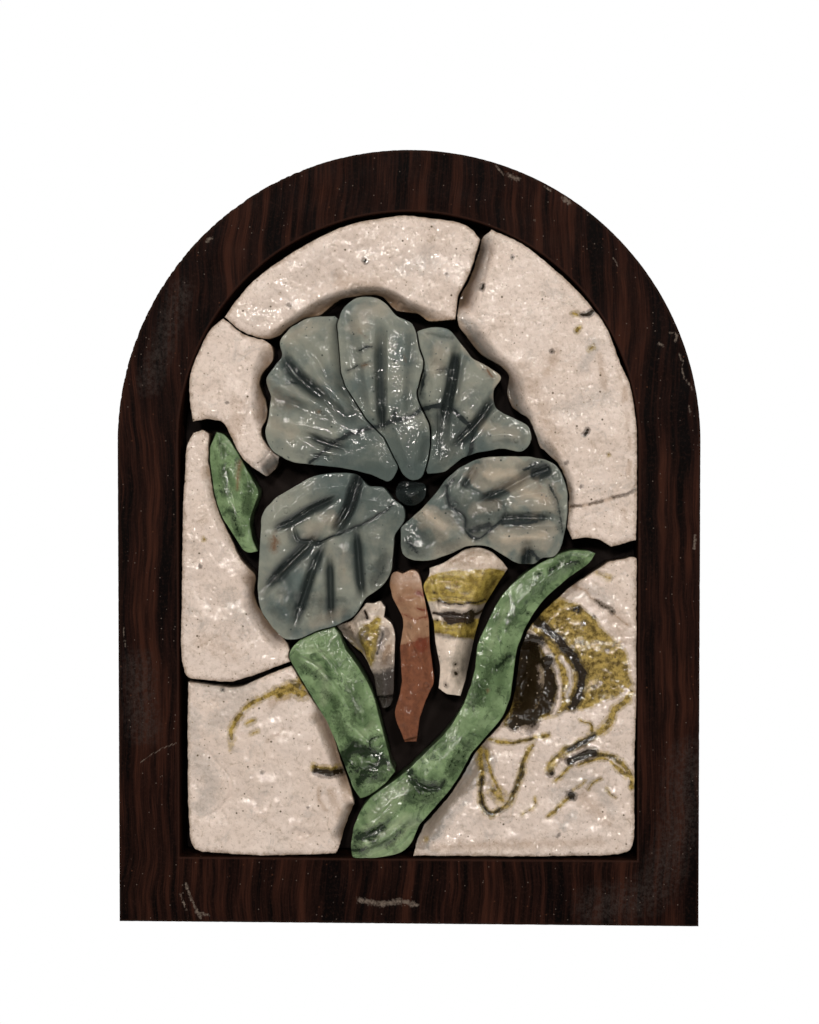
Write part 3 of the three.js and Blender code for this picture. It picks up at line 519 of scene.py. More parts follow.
        "brown": [
            (0.7, 2.2, (23, 101), (25.6, 108)), (0.7, 3, (12, 113), (22, 113.6)),
        ],
        # The wide stroke from (24.6, 101) is painted shade on the same slope
        "dark": [
            (0.9, 0.5, (8.2, 96.8), (12, 96.4), (17, 96), (21, 96.2), (23.6, 97.4)),
            (1, 1.9, (12.8, 95.6), (16, 95.2), (19, 95.4)),
            (0.6, 0.8, (9.6, 100.6), (15, 99.6), (24, 100.4)), (0.5, 0.6, (9, 90.6), (15, 89.4), (21, 89)),
            (0.45, 1.6, (24.6, 101), (26.6, 107)), (0.5, 0.5, (12, 104.6), (14, 104)),
            (0.5, 0.5, (17.4, 103.4), (19, 103)), (0.8, 0.5, (15, 81)), (0.8, 0.7, (14.8, 78.2)),
            (0.7, 0.6, (12, 74.5)), (0.8, 0.5, (8.3, 103)), (0.8, 0.5, (9.3, 94.3)),
        ],
        "fields": [
            ("olive", 1, 0.6, (2, 100.6), (10, 100.2), (16, 99.6), (26, 100.4), (30, 109.6), (18, 110),
             (12, 109.6), (2, 106)),
            ("olive", 1, 0.6, (2, 95), (10, 94.4), (24, 94), (23, 88.6), (17, 89), (10, 90.6), (2, 90)),
            ("brown", 0.55, 0.8, (2, 111), (12, 110.4), (20, 110.6), (34, 108), (34, 122), (2, 122)),
        ],
    },
    "stone_marbled": {
        "glass": "banded_glass", "rise": -2.2,
        "soft": [
            (4.4, 11, (-6.5, 64), (-7, 71)), (2.4, 3.6, (-22, 92), (-17.5, 88), (-13.5, 82)),
            (-0.6, 2.4, (-6.5, 89), (-8.5, 93)),
        ],
        "sharp": [
            (0.7, 1, (-17.5, 95), (-15, 87)), (0.6, 0.6, (-13.6, 97), (-12.6, 95)),
        ],
        "rings": [
            (-9, 90.4, 0.8),
        ],
        "pale": [
            (0.8, 1.1, (-15, 88), (-13.6, 90.6)), (0.9, 1.2, (-7.6, 91), (-8.6, 87), (-9.4, 84)),
        ],
        "brown": [
            (0.7, 2.6, (-19, 94), (-17, 90)), (0.9, 1.6, (-6.4, 86), (-7.4, 81)),
        ],
        "olive": [
            (0.7, 1.6, (-18, 86.6), (-15.4, 84)),
        ],
        "dark": [
            (0.9, 0.45, (-13.3, 97), (-12.7, 95)), (0.5, 0.5, (-12.6, 89), (-11.4, 87.4)),
        ],
        "fields": [
            ("olive", 1, 0.8, (-15, 91.5), (-12, 93.6), (-9, 95.6), (-8.3, 93), (-9.4, 88), (-9.8, 84),
             (-11.5, 79.5), (-13.5, 84), (-14.8, 87.5)),
            # This pale field is painted shadow: it colours the sunken lower part, where the leaf beside it
            # casts shade, dark grey-brown
            ("pale", 1, 3.2, (-24, 93), (-18.6, 90), (-15, 85), (-12, 80), (-6, 81), (1, 85), (1, 60),
             (-24, 60)),
        ],
    },
    "ground_top": {
        "glass": "ground_glass", "rise": -0.3, "rough": 1.3,
        "soft": [
            (4.2, 3.6, (-50, 182), (-41.3, 181), (-32, 187), (-21.7, 192.5), (-8.3, 194), (2.9, 188.5),
             (14, 186)),
            (1.1, 8, (-36, 193), (-24, 200), (-14, 202)), (-0.6, 3, (-32, 192.4), (-22, 197.4), (-14, 199)),
            (0.7, 5, (4, 208), (14, 206)), (0.6, 4, (-44, 188), (-38, 196)),
        ],
        "sharp": [
        ],
        "rings": [
            (-16, 196.5, 1.3), (-2.3, 191.5, 1.2), (-22.5, 209, 0.9), (8, 190.6, 1), (-6, 208, 0.8),
        ],
        "shine": [
            (0.9, 5, (-46, 186), (-30, 200), (-12, 208)), (0.9, 4, (0, 206), (14, 204)),
        ],
        "pale": [
            (0.8, 1.2, (-16, 196.5)), (0.8, 1, (-2.3, 191.5)), (0.4, 3, (-2, 203), (8, 205)),
        ],
        # The first brown stroke is painted shade on the bevel above the flower
        "brown": [
            (0.8, 2.2, (-46, 180.4), (-41.3, 181), (-32, 187), (-21.7, 192.5), (-8.3, 194), (2.9, 188.5),
             (14, 186)),
            (0.5, 3, (-20, 199), (-10, 198)),
        ],
        "dark": [
            (0.9, 0.7, (-12.9, 205.4)), (0.6, 0.4, (-37, 192), (-36, 191.4)), (0.6, 0.35, (12, 201)),
        ],
    },
    "ground_upper_right": {
        "glass": "ground_glass", "rise": -0.3,
        "soft": [
            (4.6, 6, (24, 214), (19, 201), (15.6, 188)),
            (4.6, 5, (15.6, 187), (24, 175), (31, 168), (33, 159), (39, 152.5)),
            (2.2, 3.4, (39, 152), (44, 144.5), (48, 138), (49.6, 126)), (0.6, 6, (54, 172), (58, 160)),
            (0.5, 6, (34, 204), (44, 190)), (-0.4, 5, (50, 196), (60, 176)),
        ],
        "sharp": [
            (0.5, 0.6, (50, 129.5), (53.5, 130), (58, 130.9), (61.5, 131.9), (65, 133), (68.5, 133.9),
             (71.2, 137.5)),
            (0.5, 0.8, (26.9, 213.2), (25, 206.8), (23.4, 198.9), (22.5, 192.5)),
        ],
        "rings": [
            (40, 186, 0.8), (60, 150, 0.9), (47, 168, 0.7), (34, 190, 0.9), (63, 168, 0.8),
        ],
        # The first pale stroke is painted shade on the bevel beside the petals
        "pale": [
            (0.9, 2, (17, 187), (24, 176.5), (31, 165.8), (36, 156.3), (44, 146)),
            (0.7, 1, (24.6, 213), (23.4, 204), (21, 197)), (0.7, 1.4, (54, 172.4), (57.5, 180)),
            (0.4, 4, (50, 160), (60, 164)),
        ],
        # The first brown stroke and the wide ones from (36, 172) and (20, 204) are painted shade on the bevels
        "brown": [
            (0.6, 1.2, (16, 186), (22.6, 176), (29.6, 165), (34.6, 156), (42, 145.6)),
            (0.6, 1.4, (45.6, 177), (43, 170.6)), (0.6, 1, (59, 176), (60.6, 166)),
            (0.9, 0.35, (50, 129.5), (53.5, 130), (58, 130.9), (61.5, 131.9), (65, 133)),
            (0.75, 0.7, (66.6, 166), (67, 162.6)), (0.7, 0.8, (67.6, 158.4), (67.2, 155)),
            (0.6, 0.6, (64.6, 171.6), (65.4, 169)), (0.6, 0.5, (66.4, 128.6), (67.4, 125.4)),
            (0.5, 0.5, (57.6, 124.4), (59, 123.6)), (0.7, 0.6, (68.3, 151), (68.4, 148)),
            (0.7, 0.6, (68.4, 143), (68.2, 139)), (0.6, 0.6, (50.2, 134.8)), (0.6, 0.6, (52, 121.7)),
            (0.45, 3, (36, 172), (42, 158), (46, 146)), (0.5, 2, (20, 204), (17, 193)),
        ],
        "olive": [
            (0.8, 0.8, (51.3, 188.8), (52.4, 188.4)), (0.8, 0.6, (52, 183.7), (52.8, 184.6)),
            (0.7, 0.4, (55.6, 177.6), (57, 179)), (0.8, 0.5, (61.8, 145.8)),
        ],
        "dark": [
            (0.55, 0.3, (50.6, 129.6), (53.5, 130)), (0.6, 0.3, (56, 130.5), (60, 131.5)),
            (0.6, 0.3, (63.4, 132.5), (68.5, 133.9), (70, 135.2)),
            (0.95, 0.55, (53.6, 188.6), (55.2, 188.8), (57, 189.6)), (0.7, 0.5, (44.4, 177.4)),
            (0.9, 0.45, (54.4, 151.8), (55.3, 153.4)), (0.7, 0.4, (32.4, 206.3)),
            (0.8, 0.4, (23.2, 197.8), (22.8, 196.6)), (0.6, 0.4, (49, 143.4)), (0.6, 0.4, (53.5, 136)),
        ],
    },
    "ground_upper_left": {
        "glass": "ground_glass", "rise": -0.3,
        "soft": [
            (3.6, 4, (-41.5, 179), (-44.5, 170), (-44.5, 160), (-44, 152)),
            (4.6, 4.4, (-39, 143), (-44.5, 139.6)), (0.6, 5, (-62, 168), (-54, 158)),
        ],
        "sharp": [
            (0.6, 0.8, (-47.8, 142), (-45, 143.7), (-42.5, 147)),
        ],
        "rings": [
            (-58, 165, 0.8), (-52, 172, 0.9),
        ],
        # The pale stroke is painted shade on the facet at the stone's lower end
        "pale": [
            (0.9, 2.6, (-45, 141), (-41, 144)),
        ],
        # The first brown stroke is painted shade on the bevel beside the petals
        "brown": [
            (0.6, 1.6, (-42.6, 178), (-45.4, 168), (-45.6, 158)), (0.5, 3, (-52, 160), (-54, 152)),
        ],
        "dark": [
            (0.6, 0.35, (-56, 162)), (0.6, 0.35, (-60, 155)),
        ],
    },
    "ground_left": {
        "glass": "ground_glass", "rise": -0.3, "rough": 1.2,
        "soft": [
            (3.8, 4.4, (-50.5, 111.5), (-47, 105), (-46.5, 98), (-41, 90), (-36, 85)),
            (1.5, 3, (-61, 146), (-60.5, 136), (-56, 122), (-51, 113)), (0.6, 6, (-66, 110), (-58, 96)),
        ],
        "sharp": [
        ],
        "rings": [
            (-60, 104, 0.8), (-64, 128, 0.8), (-50, 90, 0.9),
        ],
        "shine": [
            (0.9, 4, (-66, 116), (-56, 112)), (0.8, 4, (-60, 100), (-48, 92)),
        ],
        "pale": [
            (0.4, 3, (-56, 102), (-50, 94)),
        ],
        # The second brown stroke is painted shade on the bevel along the stone's right side
        "brown": [
            (0.7, 1.4, (-62.5, 139.3), (-62, 140.6)), (0.7, 1.6, (-49, 108), (-46.6, 100), (-42, 91.4)),
            (0.4, 3, (-64, 88), (-54, 84)),
        ],
        "olive": [
            (0.8, 0.6, (-63.2, 119.8)),
        ],
        "dark": [
            (0.6, 0.4, (-64.5, 111)),
        ],
    },
    "ground_lower_left": {
        "glass": "ground_glass", "rise": -0.3, "rough": 1.3,
        "soft": [
            (3.2, 3, (-30, 69), (-25.5, 61), (-21, 49), (-17, 39)),
            (3.8, 3.6, (-16, 38), (-19.5, 29), (-21.5, 24)),
            (0.7, 4, (-68, 56), (-60, 50.3), (-55, 43.5), (-57.5, 36.5), (-66, 31.5)),
            (-0.5, 3, (-62, 60), (-52, 54), (-50, 42)), (1, 2.4, (-36, 29.5), (-33, 27.3), (-30.3, 29)),
            (-0.6, 3.2, (-49, 39.4), (-45.6, 42.4), (-42.4, 46)), (-0.5, 2.6, (-36, 60), (-38, 53)),
            (0.6, 5, (-44, 66), (-36, 58)),
        ],
        "sharp": [
            (0.7, 0.7, (-28.9, 47.2), (-24.6, 47.4), (-20.3, 47)),
            (0.45, 0.7, (-68, 56), (-62.5, 53.5), (-60, 50.3), (-56.5, 46.5), (-55, 43.5), (-55.3, 40),
             (-57.5, 36.5), (-60, 34.5), (-66, 31.5)),
        ],
        "rings": [
            (-62.5, 72.8, 1), (-54, 71.5, 0.9), (-29.2, 62.8, 0.9), (-44, 40, 0.8), (-34, 44, 0.9),
        ],
        "shine": [
            (1, 4.5, (-50, 38), (-42, 46)), (0.9, 4, (-40, 62), (-35, 54)), (0.9, 4, (-40, 34), (-30, 30)),
            (0.8, 3, (-64, 44), (-60, 40)),
        ],
        "pale": [
            (0.7, 0.9, (-62.5, 72.8)), (0.7, 0.8, (-54, 71.5)), (0.7, 0.8, (-56.8, 64.6)),
            (0.7, 0.8, (-29.2, 62.8)), (0.6, 3.4, (-64, 76), (-56, 72), (-50, 74)),
            (0.5, 3.4, (-60, 62), (-52, 70)), (0.5, 2.2, (-66, 66), (-66, 58)),
            (0.55, 3, (-66, 52), (-61, 44), (-64, 36)),
        ],
        # The strokes from (-22, 62) and (-28.6, 64) are painted shade on the bevel along the stone's right side
        "brown": [
            (0.7, 1, (-43, 68.4), (-37, 70.6)), (0.8, 0.5, (-43.5, 57), (-41, 58.6), (-38.8, 60)),
            (0.6, 1.6, (-22, 62), (-20, 52)),
            (0.8, 0.5, (-27.4, 42.2), (-27.6, 40), (-27, 37.5), (-25.4, 35.3)),
            (0.6, 1.4, (-24, 41), (-21, 34)), (0.7, 1.2, (-28.6, 64), (-23.6, 55), (-20, 44), (-18, 36)),
        ],
        "olive": [
            (0.85, 0.9, (-38, 73.4), (-44, 70.6), (-49, 68), (-53, 63.5), (-54.8, 60), (-54.5, 57.5)),
            (1, 1.6, (-40, 72), (-36, 73), (-32, 71.8)), (1, 1.8, (-36, 74), (-33.4, 72.6), (-32, 76)),
            (0.7, 0.7, (-47.5, 63.5), (-50, 62)), (0.7, 0.6, (-46.5, 60), (-48.5, 59)),
            (0.5, 0.8, (-54.6, 57), (-55, 54)), (0.9, 1.1, (-28.8, 48.6), (-25, 47.6), (-22.4, 48.2)),
        ],
        "dark": [
            (0.5, 0.5, (-36, 75.4), (-33, 73.6)), (0.8, 0.5, (-57.4, 72.8)),
            (1, 0.9, (-28.4, 47.4), (-24.6, 46.8), (-20.6, 47)), (0.5, 0.35, (-31, 36)),
            (0.5, 0.35, (-45, 47)),
        ],
    },
    "ground_lower_right": {
        "glass": "ground_glass", "rise": -0.3, "rough": 1.8,
        "soft": [
            (6, 6.4, (37, 89), (36.5, 82), (35, 74), (31.5, 66)), (2.2, 5, (42, 82), (42.5, 74), (38, 67)),
            (2.3, 3.4, (2, 23), (8, 34), (16, 43), (22, 53), (28, 61)),
            (2.3, 3.6, (38, 93), (45, 100), (54, 107)), (-0.6, 2.4, (44, 92), (50, 84), (52, 74)),
            (-0.7, 1.2, (37.7, 78.6), (35.4, 74), (33.6, 69)), (0.8, 2, (46, 88), (50, 79), (48, 71)),
            (0.8, 5, (58, 78), (62, 70)), (0.5, 3, (50, 46), (58, 50)), (0.5, 4, (18, 30), (34, 28)),
            (-0.5, 1.6, (30, 44), (28.6, 39)),
        ],
        "sharp": [
            (0.6, 1.1, (40.3, 94), (45.4, 90.1), (48.9, 85.8), (52.3, 81.5), (54, 77.2), (53.2, 72.9),
             (51, 67.8)),
            (0.6, 0.9, (43.7, 48.9), (46.3, 52.3), (50.6, 54.9), (54.9, 57.5), (59.2, 60)),
            (0.6, 1, (50.6, 51.4), (54, 52.6), (57.5, 53.6)),
            (0.4, 0.9, (22.4, 52.3), (23.1, 47.1), (22.9, 40.3), (23.9, 36), (26.1, 34.4), (29.1, 36),
             (31.7, 38.6), (33.4, 42), (35.1, 47.1), (36.8, 53.2)),
            (-0.6, 0.6, (33.4, 70.4), (30.6, 66), (26.4, 59.6)),
            (-0.6, 0.6, (18.4, 49), (13.8, 42), (10, 35.8)),
        ],
        "rings": [
            (47.2, 65.8, 1.2), (52, 98, 1), (30, 34, 0.8), (62, 56, 0.9), (56, 36, 0.9), (66, 60, 0.8),
        ],
        "shine": [
            (1, 11, (44, 98), (58, 84), (60, 76)), (1, 9, (30, 50), (60, 50)), (0.8, 6, (14, 30), (60, 30)),
        ],
        # The wide stroke from (5, 26) is the long leaf's painted shadow
        "pale": [
            (0.7, 1.1, (47.2, 65.8)), (0.8, 1.4, (46, 83), (49, 78), (50, 71)),
            (1.3, 3.4, (5, 26), (10, 35), (17, 43.6), (23, 51)), (0.5, 2.2, (56, 104), (62, 100)),
            (0.5, 2.6, (47, 40), (52, 44), (50, 48)), (0.5, 2, (55, 46), (60, 42), (63, 36)),
            (0.7, 0.8, (48, 30), (51.5, 35)),
        ],
        # The strokes from (4, 25) and (4, 24), beside the long leaf, are painted shadow and shade on the bevel
        # there
        "brown": [
            (0.8, 2.4, (42, 96), (47.4, 92), (51, 87), (53.4, 82)),
            (1, 3.2, (37.6, 77), (38, 70), (35, 64)), (0.6, 1.6, (47, 100), (52, 98)),
            (0.7, 1.4, (4, 25), (9, 34.6), (16, 44)), (0.5, 2.6, (64, 96), (66, 88)),
            (0.5, 2, (54, 40), (62, 32)), (0.5, 1.4, (8, 24), (30, 25), (60, 26)),
            (0.6, 0.8, (6, 26), (7, 29)),
            (0.9, 0.5, (51.5, 105), (55, 103.3), (57, 101.3), (60, 99.5), (63, 97.3), (66, 94.7),
             (68, 93.2)),
            (0.6, 0.5, (27.4, 44), (30, 40.4)), (0.7, 0.4, (46, 49.6), (49, 53), (54, 55.6), (58, 58)),
            (0.6, 1.6, (4, 24), (10, 34), (18, 43), (25, 54)),
        ],
        "olive": [
            (0.6, 0.8, (58.5, 109.3), (62.5, 107.5)),
            (1, 0.8, (21.8, 56.6), (22.4, 52.3), (23.1, 47.1), (22.9, 40.3), (23.9, 36), (26.1, 34.4),
             (29.1, 36), (31.7, 38.6), (33.4, 42), (35.1, 47.1), (36.8, 53.2), (38.6, 55.7)),
            (0.9, 0.5, (24, 54), (25.7, 48), (27.4, 43.7), (29.5, 39.4)),
            (0.75, 1.8, (26.6, 42), (29.4, 39)),
            (0.9, 0.55, (25.7, 57.5), (30, 56.8), (34.3, 57), (38.6, 57.9), (43.7, 59.2)),
            (1, 1, (43.9, 48.4), (46.3, 52.3), (50.6, 54.9), (54.9, 57.5), (59.2, 60), (62.6, 63.5),
             (63.9, 66.9), (66, 68.6), (69, 72.1)),
            (0.9, 0.4, (53.5, 63.8), (56.5, 62.5), (56.8, 60.5)),
            (1, 0.7, (57.5, 53.6), (62.6, 52.7), (66, 50.6), (68.6, 47.1), (69.5, 42.9)),
            (0.9, 0.6, (53, 50), (56.6, 51.4), (60.9, 51.9), (65.2, 48.9), (67.8, 46.3)),
            (0.8, 0.5, (51, 50), (49, 48.3), (47.5, 46.5), (45.8, 45)),
            (0.9, 0.5, (50, 39.8), (46, 36), (43.5, 34)), (0.7, 0.4, (51.6, 42), (55, 45)),
            (0.7, 0.4, (56, 42.5), (58, 44.8), (60, 45.8)), (0.7, 0.4, (61.5, 42.5), (64.5, 39.8)),
            (0.7, 0.4, (35.3, 34.5), (38, 36), (39.7, 37)), (0.8, 0.4, (39.8, 37.5), (39.5, 39.5)),
            (0.7, 0.6, (5.7, 26.3)),
        ],
        "dark": [
            (0.95, 1.2, (40.3, 94), (45.4, 90.1), (48.9, 85.8), (52.3, 81.5), (54, 77.2), (53.2, 72.9),
             (51, 67.8)),
            # The strokes on this line and the next two paint the shade in the hollow beside the long leaf
            (0.8, 4.4, (37, 80), (38.4, 72), (36, 65)), (1, 3.4, (37.6, 87), (38, 82)),
            (1, 1.6, (36, 79.6), (34.4, 75)), (1, 1.8, (42.9, 82.4), (44, 76), (44, 72), (42.6, 67.8)),
            (1, 1.6, (42.6, 67.8), (38.6, 64.6), (33, 62)), (0.6, 1, (39, 75), (37, 69)),
            (0.95, 0.6, (54.7, 93.8)), (0.7, 0.35, (57.3, 95.3)),
            (0.8, 0.45, (51, 98), (52.8, 98.6), (52.6, 97)),
            (0.6, 0.6, (58, 100.6), (61, 98.8), (63, 97.3)),
            (0.7, 0.5, (23.2, 46), (22.9, 40.3), (23.9, 36), (26.1, 34.4), (29, 36)),
            (0.6, 0.5, (32.6, 41), (34.6, 45.6), (36, 50.4)), (0.5, 0.35, (33, 56.9), (38.6, 57.9)),
            (0.9, 0.9, (44.4, 47.4)), (0.95, 0.7, (50.2, 54.6), (54.9, 57.2), (57.5, 58.8)),
            (1, 1.3, (50.8, 51.2), (54, 52.8), (57.2, 53.8)),
            (0.6, 0.35, (58, 53.8), (62.6, 52.5), (66, 50.4)), (1, 1.2, (50.7, 40.5)),
            (0.7, 0.5, (46.8, 28)),
        ],
        "fields": [
            ("olive", 1, 1.2, (30, 62), (33.4, 62.2), (40.1, 63.8), (46, 65.4), (50.4, 66.9), (55.9, 67.7),
             (61.8, 70.3), (66, 72.1), (69, 74.6), (68.2, 78.1), (67.8, 83.2), (66, 86.7), (60.9, 91),
             (57.5, 95.3), (52.3, 99.5), (45, 101), (42, 100), (34, 88)),
        ],
        "bare": [
            ("olive", 1, (37.7, 90.6), (42, 86.7), (45.4, 80.6), (46.7, 75.5), (46.6, 69.5), (45, 66)),
            ("olive", 0.8, (47.4, 83), (50.4, 78), (49.6, 71)),
            ("olive", 2.6, (38, 86), (40, 76), (37, 66)),
        ],
    },
}


def noise(x, z, size, seed):
    """Smooth noise from about -1 to 1, with lumps of that size"""
    turn = np.random.default_rng(seed).uniform(0, 2 * np.pi, (256, 256))
    u, v = x / size + 90.3, z / size + 70.7
    i, j = np.floor(u).astype(int), np.floor(v).astype(int)
    p, q = u - i, v - j

    def corner(a, b):
        angle = turn[(i + a) % 256, (j + b) % 256]
        return np.cos(angle) * (p - a) + np.sin(angle) * (q - b)

    ease_p = p * p * p * (p * (6 * p - 15) + 10)
    ease_q = q * q * q * (q * (6 * q - 15) + 10)
    low = corner(0, 0) * (1 - ease_p) + corner(1, 0) * ease_p
    high = corner(0, 1) * (1 - ease_p) + corner(1, 1) * ease_p
    return 1.6 * (low * (1 - ease_q) + high * ease_q)


def evenly(points, step):
    """Points about that far apart along a line of straight steps, its ends kept"""
    points = np.asarray(points, float)
    along = np.concatenate([[0], np.cumsum(np.hypot(*np.diff(points, axis=0).T))])
    count = max(2, int(round(along[-1] / step)) + 1)
    at = np.linspace(0, along[-1], count)
    return np.column_stack([np.interp(at, along, points[:, 0]), np.interp(at, along, points[:, 1])])


def curve(points, step):
    """Points about that far apart along a smooth curve through the given ones"""
    points = np.asarray(points, float)
    if len(points) < 3:
        return evenly(points, step)
    points = np.vstack([2 * points[0] - points[1], points, 2 * points[-1] - points[-2]])
    gaps = np.sqrt(np.hypot(*np.diff(points, axis=0).T)).clip(1e-3)
    share = np.linspace(0, 1, 9)[:-1, None]
    spans = []
    for index in range(1, len(points) - 2):
        p0, p1, p2, p3 = points[index - 1 : index + 3]
        a, b, c = gaps[index - 1 : index + 2]
        leave = b * ((p1 - p0) / a - (p2 - p0) / (a + b) + (p2 - p1) / b)
        reach = b * ((p2 - p1) / b - (p3 - p1) / (b + c) + (p3 - p2) / c)
        spans.append(
            (2 * share**3 - 3 * share**2 + 1) * p1
            + (share**3 - 2 * share**2 + share) * leave
            + (3 * share**2 - 2 * share**3) * p2
            + (share**3 - share**2) * reach
        )
    spans.append(points[-2:-1])
    return evenly(np.vstack(spans), step)


def nearest(x, z, path):
    """Each point's distance to a path, and how far along it the nearest place is, as a share"""
    path = np.asarray(path, float)
    if len(path) == 1:
        return np.hypot(x - path[0, 0], z - path[0, 1]), np.full(len(x), 0.5)
    lengths = np.hypot(*np.diff(path, axis=0).T)
    starts = np.concatenate([[0], np.cumsum(lengths)])
    best = np.full(len(x), 1e9)
    where = np.zeros(len(x))
    for index, (a, b) in enumerate(zip(path[:-1], path[1:])):
        way = (b - a) / max(lengths[index], 1e-9)
        along = np.clip((x - a[0]) * way[0] + (z - a[1]) * way[1], 0, lengths[index])
        away = np.hypot(x - a[0] - along * way[0], z - a[1] - along * way[1])
        closer = away < best
        best[closer] = away[closer]
        where[closer] = (starts[index] + along[closer]) / starts[-1]
    return best, where


def near_path(x, z, points, reach):
    """The places within reach of a curved path: their indices, distances and shares of the way along it"""
    points = np.asarray(points, float)
    low, high = points.min(0) - reach - 2, points.max(0) + reach + 2
    inside = np.flatnonzero((x > low[0]) & (x < high[0]) & (z > low[1]) & (z < high[1]))
    path = curve(points, 0.8) if len(points) > 1 else points
    away, share = nearest(x[inside], z[inside], path)
    kept = away < reach
    return inside[kept], away[kept], share[kept]


def within(x, z, outline):
    """Which points lie inside a closed outline"""
    found = np.zeros(len(x), bool)
    for (ax, az), (bx, bz) in zip(outline, np.roll(outline, -1, axis=0)):
        if az == bz:
            continue
        crosses = (az > z) != (bz > z)
        found ^= crosses & (x < ax + (z - az) * (bx - ax) / (bz - az))
    return found


def back_outline(node):
    """The outline of a stone's flat back, counter-clockwise seen from the front"""
    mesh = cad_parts[node].data
    spots = [tuple(round(1000 * value, 2) for value in vertex.co) for vertex in mesh.vertices]
    following = {}
    for face in mesh.polygons:
        corners = [spots[index] for index in face.vertices]
        if all(abs(corner[1] + REAR) < 0.05 for corner in corners):
            flat = [(corner[0], corner[2]) for corner in corners]
            for start, end in zip(flat, flat[1:] + flat[:1]):
                if start in following.get(end, {}):
                    following[end].discard(start)
                else:
                    following.setdefault(start, set()).add(end)
    loops = []
    while any(following.values()):
        start = next(key for key, ends in following.items() if ends)
        loop, at = [start], following[start].pop()
        while at != start and following.get(at):
            loop.append(at)
            at = following[at].pop()
        loops.append(np.array(loop))
    outline = max(loops, key=len)
    area = np.sum(outline[:, 0] * np.roll(outline[:, 1], -1) - np.roll(outline[:, 0], -1) * outline[:, 1])
    outline = outline if area > 0 else outline[::-1]
    return outline - [0, BOTTOM]


def smoothed(outline, step):
    """A closed outline with its gentle turns rounded and its sharp corners kept"""
    joined = []
    for a, b in zip(outline, np.roll(outline, -1, axis=0)):
        joined.extend(evenly([a, b], 2.5)[:-1] if np.hypot(*(b - a)) > 3.5 else [a])
    joined = np.array(joined)
    before = joined - np.roll(joined, 1, axis=0)
    after = np.roll(joined, -1, axis=0) - joined
    turn = np.arctan2(before[:, 0] * after[:, 1] - before[:, 1] * after[:, 0], (before * after).sum(1))
    corners = np.flatnonzero(np.abs(turn) > math.radians(42))
    corners = corners if len(corners) else np.array([0])
    parts = []
    for start, end in zip(corners, np.append(corners[1:], corners[0] + len(joined))):
        run = joined[np.arange(start, end + 1) % len(joined)]
        parts.append(curve(run, step)[:-1])
    return np.vstack(parts)


def inward(ring):
    """The unit direction into the stone at each point of its outline"""
    way = np.roll(ring, -1, axis=0) - np.roll(ring, 1, axis=0)
    way /= np.maximum(np.hypot(way[:, 0], way[:, 1]), 1e-9)[:, None]
    return np.column_stack([-way[:, 1], way[:, 0]])


def fall(away, width):
    """From 1 in the middle down to 0 at that width, round at both ends"""
    return (1 - np.clip(away / width, 0, 1) ** 2) ** 2


def taper(share, length):
    """From 0 at both ends of a path up to 1 over that share of its length"""
    return np.clip(np.minimum(share, 1 - share) / length, 0, 1)


def edge_distances(x, z, ring):
    """Each point's distance to the outline"""
    dense = evenly(np.vstack([ring, ring[:1]]), 0.12)
    tree = kdtree.KDTree(len(dense))
    for index, (a, b) in enumerate(dense):
        tree.insert((a, b, 0), index)
    tree.balance()
    return np.array([tree.find((a, b, 0))[2] for a, b in zip(x, z)])


def edge_of(stone):
    """How far a stone's edge falls away, and over what width"""
    return stone.get("edge", EDGES[stone["glass"]])


def carved_height(x, z, away, stone):
    """How high a stone's face stands above the wall, and how much painted shade its cuts and troughs give it
    there
    """
    height = np.full(len(x), FACE + stone["rise"])
    height -= fall(away, edge_of(stone)[1]) * edge_of(stone)[0]
    round_off = np.clip(1 - away / STONE_ARRIS, 0, 1)
    height -= STONE_ARRIS * (1 - np.sqrt(1 - round_off**2 * 0.98))
    cut = np.zeros(len(x))
    groove_shade = np.zeros(len(x))
    for depth, half, *points in stone.get("soft", []):
        at, gap, share = near_path(x, z, points, half)
        ends = taper(share, 0.2)
        trough = depth * fall(gap, half) * ends * ends * (3 - 2 * ends)
        cut[at] += trough
        groove_shade[at] += 0.3 * trough
    for depth, half, *points in stone.get("sharp", []):
        at, gap, share = near_path(x, z, points, half)
        ends = taper(share, 0.16)
        cut[at] += depth * (0.25 + 0.75 * ends) * (1 - gap / half) ** 1.2
        if half > 0.8:
            cut[at] -= 0.3 * depth * ends * np.exp(-((gap / 0.3) ** 2))
        at, gap, share = near_path(x, z, points, 2.4 * half + 0.5)
        groove_shade[at] += 0.5 * min(depth, 1.5) * taper(share, 0.2) * fall(gap, 2.0 * half + 0.4)
        if depth > 0.8:
            at, gap, share = near_path(x, z, points, WIDE_GROOVE_SHADE)
            groove_shade[at] += 0.2 * depth * taper(share, 0.25) * fall(gap, WIDE_GROOVE_SHADE)
    for centre_x, centre_z, radius in stone.get("rings", []):
        gap = np.hypot(x - centre_x, z - centre_z)
        cut += 0.28 * fall(np.abs(gap - radius), 0.45) - 0.12 * fall(gap, radius)
    for amount, size, seed in LUMPS[stone["glass"]]:
        amount *= stone.get("rough", 1) if size < 6 else 1
        height += amount * noise(x, z, size, seed)
    return np.minimum(height - cut, HIGHEST), groove_shade


